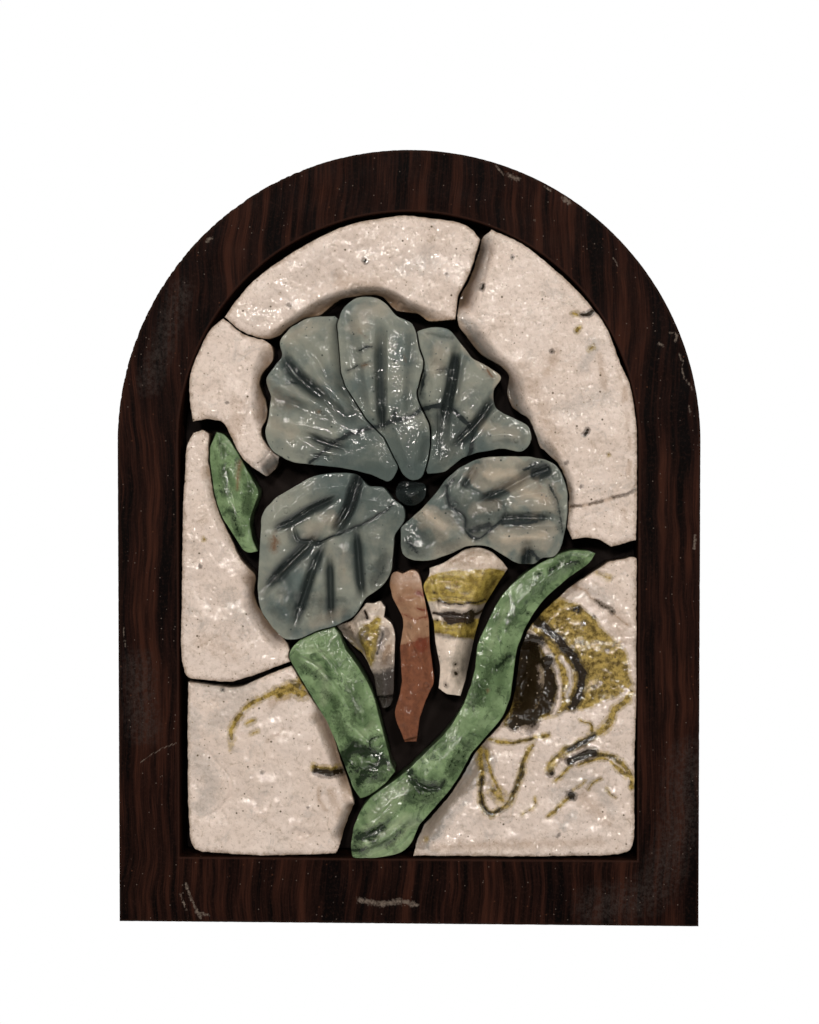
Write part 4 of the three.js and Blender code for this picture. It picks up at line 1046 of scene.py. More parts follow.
def paint_masks(x, z, stone):
    """The colour masks and the shine of a stone, from its strokes, spots and fields"""
    masks = {name: np.zeros(len(x)) for name in PAINTS}
    px = x + 0.35 * noise(x, z, 3.0, 61) + 0.06 * noise(x, z, 1.1, 62)
    pz = z + 0.35 * noise(x, z, 3.0, 63) + 0.06 * noise(x, z, 1.1, 64)
    for name, strength, soft, *points in stone.get("fields", []):
        outline = curve(np.array([*points, points[0]], float), 0.8)
        away = nearest(px, pz, outline)[0] * np.where(within(px, pz, outline[:-1]), 1, -1)
        masks[name] = np.maximum(masks[name], strength * np.clip(0.5 + away / (2 * soft), 0, 1))
    for name, half, *points in stone.get("bare", []):
        at, gap, _ = near_path(px, pz, points, 2 * half)
        masks[name][at] = np.minimum(masks[name][at], np.clip(gap / (2 * half), 0, 1))
    strokes = [(name, *stroke) for name in PAINTS for stroke in stone.get(name, [])]
    for name, strength, half, *points in strokes:
        at, gap, _ = near_path(px, pz, points, 1.5 * half + 0.9)
        width = half * (1 + 0.55 * noise(px[at], pz[at], 3.2, 65))
        core = 1 - 0.5 * gap / width
        halo = 0.5 * (1 - (gap - width) / (0.45 * half + 0.75))
        level = np.where(gap < width, core, np.clip(halo, 0, 0.5))
        masks[name][at] = np.maximum(masks[name][at], strength * level)
    return masks


def made_object(name, vertices, faces, masks, smooth=True):
    """A mesh from points in millimetres, with its masks as attributes, riding on the panel"""
    mesh = bpy.data.meshes.new(name)
    placed = np.column_stack([vertices[:, 0], -vertices[:, 2], vertices[:, 1] + BOTTOM]) / 1000
    mesh.from_pydata(placed.tolist(), [], faces)
    for mask, values in masks.items():
        attribute = mesh.attributes.new(mask, "FLOAT", "POINT")
        attribute.data.foreach_set("value", np.asarray(values, np.float32))
    mesh.shade_smooth() if smooth else mesh.shade_flat()
    mesh.update()
    made = bpy.data.objects.new(name, mesh)
    bpy.context.scene.collection.objects.link(made)
    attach(made, "root")
    return made


def band(low, high):
    """The four-sided faces between two closed rows of points"""
    return [list(face) for face in zip(low, low[1:] + low[:1], high[1:] + high[:1], high)]


def face_points(ring, grid):
    """Points all over a stone's face: its outline, rows close behind it and rows of even triangles"""
    near = np.vstack([ring + inward(ring) * gap for gap in (0.07, 0.2, 0.42, 0.7)])
    near = near[within(near[:, 0], near[:, 1], ring)]
    near = near[edge_distances(near[:, 0], near[:, 1], ring) > 0.05]
    low, high = ring.min(0), ring.max(0)
    rows = np.arange(low[1], high[1], grid * 0.866)
    columns = np.arange(low[0], high[0], grid)
    grid_x, grid_z = np.meshgrid(columns, rows)
    grid_x = grid_x + np.where(np.arange(len(rows)) % 2, grid / 2, 0)[:, None]
    inner = np.column_stack([grid_x.ravel(), grid_z.ravel()])
    inner = inner[within(inner[:, 0], inner[:, 1], ring)]
    inner = inner[edge_distances(inner[:, 0], inner[:, 1], ring) > 0.9]
    return np.vstack([ring, near, inner])


def make_stone(node, stone, glass):
    """A stone's finely carved mesh, which stands for its CAD node"""
    coarse = stone["glass"] == "ground_glass"
    ragged, grid = (GROUND_RAGGED, GROUND_GRID) if coarse else (FINE_RAGGED, FINE_GRID)
    ring = smoothed(back_outline(node), RING_STEP)
    lumpy = np.abs(noise(*ring.T, 3.0, 71)) + 0.5 * np.abs(noise(*ring.T, 1.1, 72))
    ring = ring + inward(ring) * (ragged * lumpy)[:, None]
    count = len(ring)
    spots = [Vector(point) for point in face_points(ring, grid)]
    made = delaunay_2d_cdt(spots, [], [list(range(count))], 1, 1e-4)
    flat = np.array([tuple(spot) for spot in made[0]])
    faces = [list(face) for face in made[2]]
    place = {source: index for index, sources in enumerate(made[3]) for source in sources if source < count}
    x, z = flat.T
    away = edge_distances(x, z, ring)
    height, groove_shade = carved_height(x, z, away, stone)
    masks = paint_masks(x, z, stone)
    # The cut mask carries the painted shade along the grooves and troughs
    masks["cut"] = np.clip(groove_shade, 0, 1)
    masks["heart"] = np.clip(1.15 - np.hypot(x - HEART[0], z - HEART[1]) / HEART_REACH, 0, 1)
    masks["rim"] = np.clip(1 - away / edge_of(stone)[1], 0, 1)
    rim = [place[index] for index in range(count) if index in place]
    rim = [index for index, before in zip(rim, rim[-1:] + rim[:-1]) if index != before]
    edge, top = flat[rim], height[rim]
    stack = [np.column_stack([flat, height])]
    previous, total = rim, len(flat)
    for share in (0.03, 0.09, 0.2, 0.38, 0.65, 1.0):
        rough = 0.144 * noise(edge[:, 0] + 40 * share, edge[:, 1], 1.8, 73) * (share < 1)
        shift = np.clip(0.05 + 0.12 * share + rough, 0.0, 0.5)
        stack.append(np.column_stack([edge + inward(edge) * shift[:, None], top + (REAR - top) * share]))
        current = list(range(total, total + len(rim)))
        faces += zip(previous, current, current[1:] + current[:1], previous[1:] + previous[:1])
        previous = current
        total += len(rim)
    faces.append(previous[::-1])
    for name, values in masks.items():
        side = np.ones(len(rim)) if name == "rim" else values[rim]
        masks[name] = np.concatenate([values] + [side] * (len(stack) - 1))
    vertices = np.vstack(stack)
    # Painted shade: how far below its face each place lies, down the sides and in hollows, which the glasses
    # darken by
    masks["shade_depth"] = np.clip((FACE + stone["rise"] - vertices[:, 2]) / FULL_SHADE_DEPTH, 0, 1)
    made = made_object(node.replace("_", "-") + "-cast", vertices, faces, masks)
    made.data.materials.append(glass)
    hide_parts(node)
    return made


def arch(half, sill, across, upright, round_top):
    """An arch's outline with so many points along its parts, counter-clockwise from its lower left corner"""
    outline = [(half * share, sill) for share in np.linspace(-1, 1, across)[:-1]]
    outline += [(half, z) for z in np.linspace(sill, SPRINGING, upright)[:-1]]
    for angle in np.linspace(0, math.pi, round_top)[:-1]:
        outline.append((half * math.cos(angle), SPRINGING + half * math.sin(angle)))
    outline += [(-half, z) for z in np.linspace(SPRINGING, sill, upright)[:-1]]
    return np.array(outline)


# Chips and scuffs on the frame's face: (half width, points)
FRAME_SCUFFS = [
    (0.8, (31, 231.4), (34, 230)),
    (0.5, (39, 217.6)),
    (0.9, (48, 224.4), (49.4, 222.8)),
    (0.6, (77, 179.6), (78, 179)),
    (0.4, (80.6, 183), (82.6, 182.6), (82.2, 180.4)),
    (0.35, (84.2, 173), (84.8, 169.6), (86.4, 167.4), (87.6, 165.6)),
    (0.4, (83.2, 176.6), (84.4, 174.4)),
    (0.35, (86.4, 160.6), (87, 157.8)),
    (0.5, (88.4, 121), (88.2, 117)),
    (0.4, (41.6, 228), (44, 226.6)),
    (0.35, (27, 234.4), (29.6, 231.4)),
    (0.3, (-88.4, 92), (-87.8, 86)),
    (0.3, (63, 206), (64.6, 203.4)),
    (0.6, (-62, 211.6), (-60.6, 212.6)),
    (0.5, (-69, 12), (-67.4, 7), (-64.6, 1.4)),
    (0.35, (-71, 9), (-69, 4)),
    (0.95, (-15, 7.4), (-8, 6.2), (-2, 7), (2.6, 6)),
    (0.25, (-83, 50), (-78, 53.4), (-72, 56)),
    (0.5, (-66, 3.2), (-62, 2.2)),
]

# Greyer, paler places on the frame: (half width, points)
FRAME_HAZE = [
    (11, (86, 52), (82, 24), (74, 10), (58, 6)),
    (9, (-84, 80), (-82, 60)),
    (7, (-80, 168), (-70, 196)),
]


def make_frame(wood):
    """The arched frame with rounded edges, a saw-cut outer edge and its small knocks"""
    counts = [int(reach / FRAME_STEP) + 1 for reach in (2 * HALF_WIDTH, SPRINGING, math.pi * HALF_WIDTH)]
    inner = arch(HALF_WIDTH - SIDE_RIM, BOTTOM_RIM, *counts)
    outer = arch(HALF_WIDTH, 0, *counts)
    length = np.hypot(*(outer - inner).T)
    way = (outer - inner) / length[:, None]
    upright = (0, 0.25, 0.5, 0.75, 0.9, 1)
    columns = []
    for share in upright:
        columns.append((inner, FRAME_REAR + (FACE - FRAME_REAR - 0.5) * share, "inner"))
    for angle in np.linspace(0.2, 1.571, 5):
        level = FACE - INNER_ARRIS * (1 - math.sin(angle))
        columns.append((inner + way * INNER_ARRIS * (1 - math.cos(angle)), level, "inner"))
    for share in np.linspace(0, 1, 32)[1:-1]:
        offset = INNER_ARRIS + (length - INNER_ARRIS - OUTER_ARRIS) * share
        columns.append((inner + way * offset[:, None], FACE, "face"))
    for angle in np.linspace(1.571, 0.15, 6):
        level = FACE - OUTER_ARRIS * (1 - math.sin(angle))
        columns.append((outer - way * OUTER_ARRIS * (1 - math.cos(angle)), level, "outer"))
    for share in reversed(upright):
        columns.append((outer, FRAME_REAR + (FACE - FRAME_REAR - 0.7) * share, "outer"))
    rows = len(inner)
    stack = []
    for spots, level, part in columns:
        x, z = spots.T
        level = np.full(rows, float(level))
        if part == "face":
            level += 0.035 * noise(x, z / 9, 1.3, 81) - 0.035
            level += 0.03 * noise(x, z, 7, 82) - 0.03
        if part == "outer":
            rough = np.clip(noise(x, z, 1.6, 83), 0, 1) * 0.32 + np.clip(noise(x, z, 0.9, 84) - 0.2, 0, 1) * 0.3
            upper_left = np.clip((z - 150) / 30, 0, 1) * np.clip((10 - x) / 40, 0, 1)
            worn = rough * (0.25 + 0.75 * upper_left) * np.clip((level - FACE + 2.6) / 2.6, 0, 1)
            spots = spots - way * worn[:, None]
            level -= worn * 0.5
        if part == "inner":
            rough = np.clip(noise(x, z, 2.2, 85), 0, 1) * 0.1
            level -= rough * np.clip(level - FACE + 1, 0, 1)
        stack.append(np.column_stack([spots, level]))
    vertices = np.vstack(stack)
    x, z, level = vertices.T
    scuff = np.zeros(len(x))
    for half, *path in FRAME_SCUFFS:
        at, gap, _ = near_path(x, z, path, 2.2 * half)
        broken = 1 - gap / (2.2 * half) + 0.35 * noise(x[at], z[at], 0.9, 86)
        scuff[at] = np.maximum(scuff[at], np.clip(broken, 0, 1))
    haze = np.zeros(len(x))
    for half, *path in FRAME_HAZE:
        at, gap, _ = near_path(x, z, path, half)
        haze[at] = np.maximum(haze[at], fall(gap, half))
    front = level > FACE - 0.4
    vertices[:, 2] -= 0.12 * scuff * front
    column_rows = [list(range(start, start + rows)) for start in range(0, len(vertices), rows)]
    faces = []
    for row, beside in zip(column_rows, column_rows[1:] + column_rows[:1]):
        faces += zip(row, beside, beside[1:] + beside[:1], row[1:] + row[:1])
    parts = np.repeat([part for _, _, part in columns], rows)
    masks = {
        "scuff": scuff * front,
        "haze": haze,
        "arris": parts != "face",
        "inner": (parts == "inner") & front,
    }
    made = made_object("frame-board-worn", vertices, faces, masks)
    made.data.materials.append(wood)
    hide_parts("frame_board")
    return made


def make_backing(wood):
    """The thin backing board, with a soft arris and its hanging hole"""
    outline = arch(HALF_WIDTH - BACKING_INSET, BACKING_INSET, 60, 50, 120)
    centre = np.array([0, SPRINGING + HALF_WIDTH - HOLE_DROP])
    angles = np.linspace(0, 2 * math.pi, 49)[:-1]
    circle = np.column_stack([np.cos(angles), np.sin(angles)])
    arris = [(0.35, 0.0), (0.1, 0.1), (0.0, 0.4)]
    section = arris + [(gap, BACKING_FACE - level) for gap, level in reversed(arris)]
    rings = [(outline + inward(outline) * gap, level) for gap, level in section]
    rings += [(centre + circle * (HOLE_RADIUS + gap * 0.6), level) for gap, level in section]
    stack = [np.column_stack([ring, np.full(len(ring), level)]) for ring, level in rings]
    starts = np.cumsum([0] + [len(ring) for ring, level in rings])
    rows = [list(range(start, end)) for start, end in zip(starts, starts[1:])]
    vertices = np.vstack(stack)
    outer_rows, hole_rows = rows[: len(section)], rows[len(section) :]
    faces = []
    for low, high in zip(outer_rows, outer_rows[1:]):
        faces += band(low, high)
    for low, high in zip(hole_rows, hole_rows[1:]):
        faces += band(high, low)
    for end, flip in ((0, True), (-1, False)):
        corners = outer_rows[end] + hole_rows[end]
        sides = []
        for first, last in ((0, len(outline)), (len(outline), len(corners))):
            ring = list(range(first, last))
            sides += list(zip(ring, ring[1:] + ring[:1]))
        spots = [Vector(vertices[index][:2]) for index in corners]
        made = delaunay_2d_cdt(spots, sides, [], 1, 1e-4)
        for face in made[2]:
            middle = np.mean([tuple(made[0][index]) for index in face], axis=0)
            if np.hypot(*(middle - centre)) > HOLE_RADIUS * 0.9:
                corner = [corners[made[3][index][0]] for index in face]
                faces.append(corner[::-1] if flip else corner)
    made = made_object("backing-board-plain", vertices, faces, {}, smooth=False)
    made.data.materials.append(wood)
    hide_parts("backing_board")
    return made


# Materials


def start_material(name):
    """A new material, with its nodes and its shader"""
    material = bpy.data.materials.new(name)
    material.use_nodes = True
    tree = material.node_tree
    shader = next(item for item in tree.nodes if item.type == "BSDF_PRINCIPLED")
    return material, tree, shader


def add(tree, kind, inputs=None, **settings):
    """A node with its settings and inputs; an input that is an output of another node is linked"""
    made = tree.nodes.new(kind)
    for name, value in settings.items():
        setattr(made, name, value)
    for name, value in (inputs or {}).items():
        if isinstance(value, bpy.types.NodeSocket):
            tree.links.new(value, made.inputs[name])
        else:
            made.inputs[name].default_value = value
    return made


def place_in_millimetres(tree, stretch=(1, 1, 1)):
    """The place on the panel, which the textures take their sizes from"""
    where = add(tree, "ShaderNodeTexCoord").outputs["Object"]
    scale = tuple(1000 * value for value in stretch)
    return add(tree, "ShaderNodeMapping", {"Vector": where, "Scale": scale}).outputs["Vector"]


def cloud(tree, where, size, detail=3.0, roughness=0.55, distortion=0.0):
    """Noise from 0 to 1 with patches of that size in millimetres"""
    inputs = {"Vector": where, "Scale": 1 / size, "Detail": detail, "Roughness": roughness,
              "Distortion": distortion}
    return add(tree, "ShaderNodeTexNoise", inputs).outputs["Fac"]


def between(tree, value, low, high, low_out=0.0, high_out=1.0):
    """The value's place between low and high, as a value between low_out and high_out"""
    inputs = {"Value": value, "From Min": low, "From Max": high, "To Min": low_out, "To Max": high_out}
    return add(tree, "ShaderNodeMapRange", inputs, clamp=True).outputs["Result"]


def maths(tree, operation, a, b):
    """The sum, difference, product or larger one of two values"""
    return add(tree, "ShaderNodeMath", {0: a, 1: b}, operation=operation).outputs[0]


def blend(tree, share, a, b):
    """The colour a, with that share of the colour b over it"""
    a, b = (value if isinstance(value, bpy.types.NodeSocket) else (*value, 1) for value in (a, b))
    return add(tree, "ShaderNodeMix", {0: share, 6: a, 7: b}, data_type="RGBA").outputs[2]


def mask(tree, name):
    """One of the masks that the mesh carries"""
    return add(tree, "ShaderNodeAttribute", attribute_name=name).outputs["Fac"]


def specks(tree, where, spacing, radius, share):
    """Small round specks, one in some of the cells of an uneven grid"""
    cells = add(tree, "ShaderNodeTexVoronoi", {"Vector": where, "Scale": 1 / spacing, "Randomness": 1.0})
    close = between(tree, cells.outputs["Distance"], radius / spacing, 0.55 * radius / spacing)
    parts = add(tree, "ShaderNodeSeparateColor", {"Color": cells.outputs["Color"]})
    chosen = between(tree, parts.outputs["Red"], 1 - share, 1 - share + 0.02)
    return maths(tree, "MULTIPLY", close, chosen)


def painted(tree, where, colour, name, tint, low=0.45, high=0.6, grain=0.3, halo=0.3, second=None):
    """Paints a tint over the colour where a mask is strong, with a grainy edge and a faint stain round it"""
    rough = maths(tree, "SUBTRACT", cloud(tree, where, 0.9, 4.0, 0.72), 0.5)
    level = maths(tree, "ADD", mask(tree, name), maths(tree, "MULTIPLY", rough, 2 * grain))
    firm = between(tree, level, low, high)
    stain = between(tree, level, 0.12, low, 0.0, halo)
    if second is not None:
        tint = blend(tree, between(tree, cloud(tree, where, 1.7, 5.0, 0.7), 0.4, 0.6), tint, second)
    return blend(tree, maths(tree, "MAXIMUM", firm, stain), colour, tint)


def bump(tree, height):
    """A normal from a height in millimetres"""
    return add(tree, "ShaderNodeBump", {"Height": height, "Strength": 1.0, "Distance": 0.001}).outputs["Normal"]


def bumps(tree, where, sizes, calm=None):
    """A normal from lumps of (height, size) in millimetres, lower where calm is low"""
    height = None
    for amount, size in sizes:
        part = maths(tree, "MULTIPLY", cloud(tree, where, size, 2.0, 0.5), amount)
        height = part if height is None else maths(tree, "ADD", height, part)
    if calm is not None:
        height = maths(tree, "MULTIPLY", height, calm)
    return bump(tree, height)


def finish_glass(tree, shader, where, colour, body, skin, gloss, shine=None, wet=0.0):
    """Joins the colour to the shader, with a bumpy body under a clear, bumpier skin that is smoother in cuts"""
    tree.links.new(colour, shader.inputs["Base Color"])
    matte = between(tree, cloud(tree, where, 1.6, 3.0, 0.6), 0.35, 0.65, *gloss)
    tree.links.new(matte, shader.inputs["Roughness"])
    shader.inputs["IOR"].default_value = 1.5
    shader.inputs["Specular IOR Level"].default_value = 0.05
    if shine is None:
        shader.inputs["Coat Weight"].default_value = 1.0
    else:
        uneven = between(tree, cloud(tree, where, 3.2, 4.0, 0.6), 0.3, 0.7, -0.3, 0.3)
        patchy = maths(tree, "ADD", mask(tree, "shine"), uneven)
        patchy = maths(tree, "ADD", patchy, maths(tree, "MULTIPLY", mask(tree, "cut"), wet))
        tree.links.new(between(tree, patchy, 0.0, 0.6, *shine), shader.inputs["Coat Weight"])
    shader.inputs["Coat Roughness"].default_value = 0.04
    shader.inputs["Coat IOR"].default_value = 1.65
    tree.links.new(bumps(tree, where, body), shader.inputs["Normal"])
    calm = between(tree, mask(tree, "cut"), 0.1, 0.8, 1.0, 1.0 - wet) if wet else None
    tree.links.new(bumps(tree, where, skin, calm), shader.inputs["Coat Normal"])


def ground_glass():
    material, tree, shader = start_material("ground_glass")
    where = place_in_millimetres(tree)
    white, warm, smudge = (0.735, 0.622, 0.553), (0.68, 0.565, 0.492), (0.36, 0.33, 0.305)
    colour = blend(tree, between(tree, cloud(tree, where, 14, 3.0, 0.5), 0.4, 0.62), white, warm)
    patch = between(tree, cloud(tree, where, 9, 7.0, 0.78, 1.2), 0.54, 0.68, 0.0, 0.5)
    colour = blend(tree, patch, colour, smudge)
    tan = between(tree, cloud(tree, where, 4.5, 9.0, 0.85, 1.6), 0.545, 0.63, 0.0, 0.6)
    colour = blend(tree, tan, colour, (0.36, 0.27, 0.19))
    # Painted shade in the low places of the lumps, at the sizes of the bumps below
    low = between(tree, cloud(tree, where, 1.1, 3.0, 0.6), 0.46, 0.3, 0.0, 0.5)
    colour = blend(tree, low, colour, (0.38, 0.3, 0.235))
    # Painted shade in the low places of the larger lumps
    low = between(tree, cloud(tree, where, 2.4, 3.0, 0.6), 0.44, 0.3, 0.0, 0.4)
    colour = blend(tree, low, colour, (0.42, 0.345, 0.28))
    # Painted shade: browner down the bevels and sides, where the glass lies below its face
    hollow_shade = between(tree, mask(tree, "shade_depth"), 0.14, 0.7, 0.0, 0.85)
    colour = blend(tree, hollow_shade, colour, (0.15, 0.1, 0.075))
    # Browner in uneven patches near each stone's edge and down its sides
    uneven = between(tree, cloud(tree, where, 2.4, 8.0, 0.8, 1.0), 0.3, 0.7, -0.9, 0.3)
    near_edge = maths(tree, "ADD", mask(tree, "rim"), uneven)
    colour = blend(tree, between(tree, near_edge, 0.0, 0.7, 0.0, 0.75), colour, (0.27, 0.195, 0.135))
    # Grey paint: the stones' own grey smudges, and where its strokes lie on bevels or beside the long leaf,
    # painted shade and shadow
    colour = painted(tree, where, colour, "pale", (0.29, 0.275, 0.255), 0.45, 0.9, 0.5, 0.35)
    # Tan paint: the stones' own tan stains, and where its strokes follow a bevel, painted shade
    colour = painted(tree, where, colour, "brown", (0.3, 0.19, 0.11), 0.5, 0.95, 0.4, 0.4)
    ochre, umber = (0.42, 0.3, 0.082), (0.1, 0.064, 0.012)
    colour = painted(tree, where, colour, "olive", ochre, 0.3, 0.62, 0.3, 0.5, umber)
    # Painted shade: near black deep down in the hollows and on the sides
    hollow_shade = between(tree, mask(tree, "shade_depth"), 0.5, 0.95, 0.0, 0.85)
    colour = blend(tree, hollow_shade, colour, (0.03, 0.018, 0.009))
    colour = painted(tree, where, colour, "dark", (0.018, 0.011, 0.0045), 0.3, 0.56, 0.3, 0.6)
    colour = blend(tree, specks(tree, where, 3.8, 0.42, 0.5), colour, (0.12, 0.09, 0.055))
    colour = blend(tree, specks(tree, where, 1.7, 0.3, 0.42), colour, (0.33, 0.265, 0.2))
    body = [(0.2, 2.3), (0.12, 1.1), (0.04, 0.5)]
    skin = [(0.3, 2.4), (0.2, 1.1), (0.03, 0.5)]
    finish_glass(tree, shader, where, colour, body, skin, (0.4, 0.6), (0.3, 1.0))
    return material


def petal_glass():
    material, tree, shader = start_material("petal_glass")
    where = place_in_millimetres(tree)
    grey_green, blue, warm = (0.24, 0.249, 0.207), (0.102, 0.129, 0.122), (0.325, 0.298, 0.236)
    colour = blend(tree, between(tree, cloud(tree, where, 13, 4.0, 0.6), 0.4, 0.66), grey_green, blue)
    colour = blend(tree, between(tree, cloud(tree, where, 9, 4.0, 0.6, 0.5), 0.52, 0.78, 0, 0.5), colour, warm)
    uneven = between(tree, cloud(tree, where, 5, 4.0, 0.6), 0.3, 0.7, -0.25, 0.25)
    toward = maths(tree, "ADD", mask(tree, "heart"), uneven)
    colour = blend(tree, between(tree, toward, 0.2, 0.85, 0, 0.85), colour, (0.068, 0.09, 0.084))
    # Painted shade along the grooves and troughs
    colour = blend(tree, between(tree, mask(tree, "cut"), 0.04, 0.85, 0, 0.95), colour, (0.02, 0.027, 0.026))
    # Cream paint: the glass's own paler patches, and in places painted sheen where the petals shine
    colour = painted(tree, where, colour, "pale", (0.43, 0.36, 0.275), 0.5, 1.1, 0.2, 0.35)
    colour = painted(tree, where, colour, "brown", (0.15, 0.095, 0.06), 0.45, 0.9, 0.5)
    # Dark paint: the petals' own veins and flecks, and along their grooves and troughs painted shade
    colour = painted(tree, where, colour, "dark", (0.017, 0.022, 0.022), 0.42, 0.7, 0.3, 0.4)
    colour = blend(tree, specks(tree, where, 3.2, 0.42, 0.45), colour, (0.04, 0.048, 0.043))
    colour = blend(tree, specks(tree, where, 1.8, 0.3, 0.45), colour, (0.085, 0.1, 0.09))
    body = [(0.1, 2.2), (0.05, 0.85), (0.02, 0.4)]
    skin = [(0.14, 2.2), (0.11, 0.85), (0.02, 0.4)]
    finish_glass(tree, shader, where, colour, body, skin, (0.35, 0.5), (0.12, 1.0), 0.85)
    return material


def leaf_glass():
    material, tree, shader = start_material("leaf_glass")
    where = place_in_millimetres(tree)
    green, light, deep_green = (0.108, 0.17, 0.077), (0.215, 0.31, 0.155), (0.032, 0.058, 0.026)
    colour = blend(tree, between(tree, cloud(tree, where, 7, 4.0, 0.6), 0.42, 0.62), green, light)
    mottled = between(tree, cloud(tree, where, 5.0, 6.0, 0.74, 1.0), 0.52, 0.64, 0, 0.85)
    colour = blend(tree, mottled, colour, deep_green)
    # Pale paint: painted glints and highlights along the leaves' ridges and edges
    colour = painted(tree, where, colour, "pale", (0.32, 0.38, 0.23), 0.5, 1.1, 0.3, 0.3)
    # Dark paint: the leaves' own dark mottling, and between the ridges at the long leaf's lower end painted
    # shade
    colour = painted(tree, where, colour, "dark", (0.011, 0.022, 0.008), 0.34, 0.62, 0.6, 0.55)
    colour = painted(tree, where, colour, "brown", (0.18, 0.06, 0.03), 0.5, 0.9, 0.3)
    # Painted shade: darker green down the sides
    colour = blend(tree, between(tree, mask(tree, "shade_depth"), 0.3, 0.9, 0, 0.75), colour, (0.028, 0.045, 0.02))
    colour = blend(tree, specks(tree, where, 2.6, 0.3, 0.5), colour, (0.022, 0.04, 0.016))
    colour = blend(tree, specks(tree, where, 1.3, 0.15, 0.5), colour, (0.04, 0.07, 0.03))
    body = [(0.08, 2.2), (0.03, 0.9)]
    skin = [(0.2, 2.2), (0.14, 0.9), (0.02, 0.4)]
    finish_glass(tree, shader, where, colour, body, skin, (0.35, 0.5), (0.25, 1.0))
    return material


def stem_glass():
    material, tree, shader = start_material("stem_glass")
    where = place_in_millimetres(tree)
    pink, tan = (0.35, 0.205, 0.125), (0.26, 0.142, 0.082)
    colour = blend(tree, between(tree, cloud(tree, where, 5, 4.0, 0.6), 0.4, 0.66), pink, tan)
    rust, dark_rust = (0.2, 0.075, 0.038), (0.145, 0.055, 0.03)
    colour = painted(tree, where, colour, "brown", rust, 0.45, 0.6, 0.2, 0.3, dark_rust)
    colour = painted(tree, where, colour, "pale", (0.46, 0.33, 0.255), 0.4, 0.9, 0.3)
    colour = painted(tree, where, colour, "olive", (0.16, 0.042, 0.022), 0.42, 0.75, 0.45)
    colour = painted(tree, where, colour, "dark", (0.05, 0.03, 0.022), 0.45, 0.8, 0.3)
    # Painted shade: darker down the sides
    colour = blend(tree, between(tree, mask(tree, "shade_depth"), 0.4, 1.0, 0, 0.8), colour, (0.05, 0.025, 0.017))
    colour = blend(tree, specks(tree, where, 2.2, 0.22, 0.5), colour, (0.08, 0.035, 0.022))
    colour = blend(tree, specks(tree, where, 1.5, 0.14, 0.35), colour, (0.5, 0.4, 0.32))
    body = [(0.08, 2.2), (0.03, 0.9)]
    skin = [(0.14, 2.2), (0.13, 0.9), (0.03, 0.4)]
    finish_glass(tree, shader, where, colour, body, skin, (0.35, 0.5), (0.3, 1.0))
    return material


def banded_glass():
    material, tree, shader = start_material("banded_glass")
    where = place_in_millimetres(tree)
    white, grey = (0.72, 0.6, 0.5), (0.4, 0.34, 0.28)
    colour = blend(tree, between(tree, cloud(tree, where, 5, 4.0, 0.6), 0.42, 0.66), white, grey)
    # Painted shade: darker down the sides and over the marbled stone's sunken lower part
    colour = blend(tree, between(tree, mask(tree, "shade_depth"), 0.3, 1.0, 0, 0.85), colour, (0.09, 0.072, 0.062))
    colour = painted(tree, where, colour, "brown", (0.33, 0.235, 0.165), 0.4, 0.8, 0.5)
    ochre, umber = (0.45, 0.335, 0.075), (0.2, 0.135, 0.026)
    colour = painted(tree, where, colour, "olive", ochre, 0.4, 0.66, 0.3, 0.4, umber)
    colour = painted(tree, where, colour, "dark", (0.026, 0.015, 0.008), 0.4, 0.56, 0.25, 0.5)
    # Pale paint, dark grey-brown in this glass: the marbled stone's own streaks, and over its sunken lower part
    # painted shade
    colour = painted(tree, where, colour, "pale", (0.055, 0.046, 0.04), 0.3, 0.9, 0.3, 0.5)
    colour = blend(tree, specks(tree, where, 2.0, 0.2, 0.42), colour, (0.06, 0.045, 0.03))
    body = [(0.1, 2.2), (0.04, 0.9)]
    skin = [(0.45, 2.2), (0.24, 0.9), (0.02, 0.4)]
    finish_glass(tree, shader, where, colour, body, skin, (0.35, 0.5))
    return material


def wood_colour(tree, dark, middle, light, grain):
    """Upright wavy figure with fine fibres, in the panel's own coordinates"""
    drift = maths(tree, "SUBTRACT", cloud(tree, place_in_millimetres(tree, (0.5, 0.5, 1)), 42, 2.0, 0.5), 0.5)
    sideways = add(tree, "ShaderNodeCombineXYZ", {"X": maths(tree, "MULTIPLY", drift, 10.0)}).outputs[0]
    where = place_in_millimetres(tree)
    bent = add(tree, "ShaderNodeVectorMath", {0: where, 1: sideways}, operation="ADD").outputs[0]

    def stretched(long):
        return add(tree, "ShaderNodeMapping", {"Vector": bent, "Scale": (1, 1, long)}).outputs[0]

    wide = cloud(tree, stretched(0.07), 2.2 * grain, 3.0, 0.55)
    narrow = cloud(tree, stretched(0.05), 0.62 * grain, 4.0, 0.65)
    fine = cloud(tree, stretched(0.03), 0.4, 3.0, 0.6)
    level = maths(tree, "ADD", maths(tree, "MULTIPLY", wide, 0.55), maths(tree, "MULTIPLY", narrow, 0.45))
    level = maths(tree, "ADD", level, maths(tree, "MULTIPLY", maths(tree, "SUBTRACT", fine, 0.5), 0.22))
    colour = blend(tree, between(tree, level, 0.42, 0.51), dark, middle)
    return blend(tree, between(tree, level, 0.51, 0.62), colour, light), level, fine


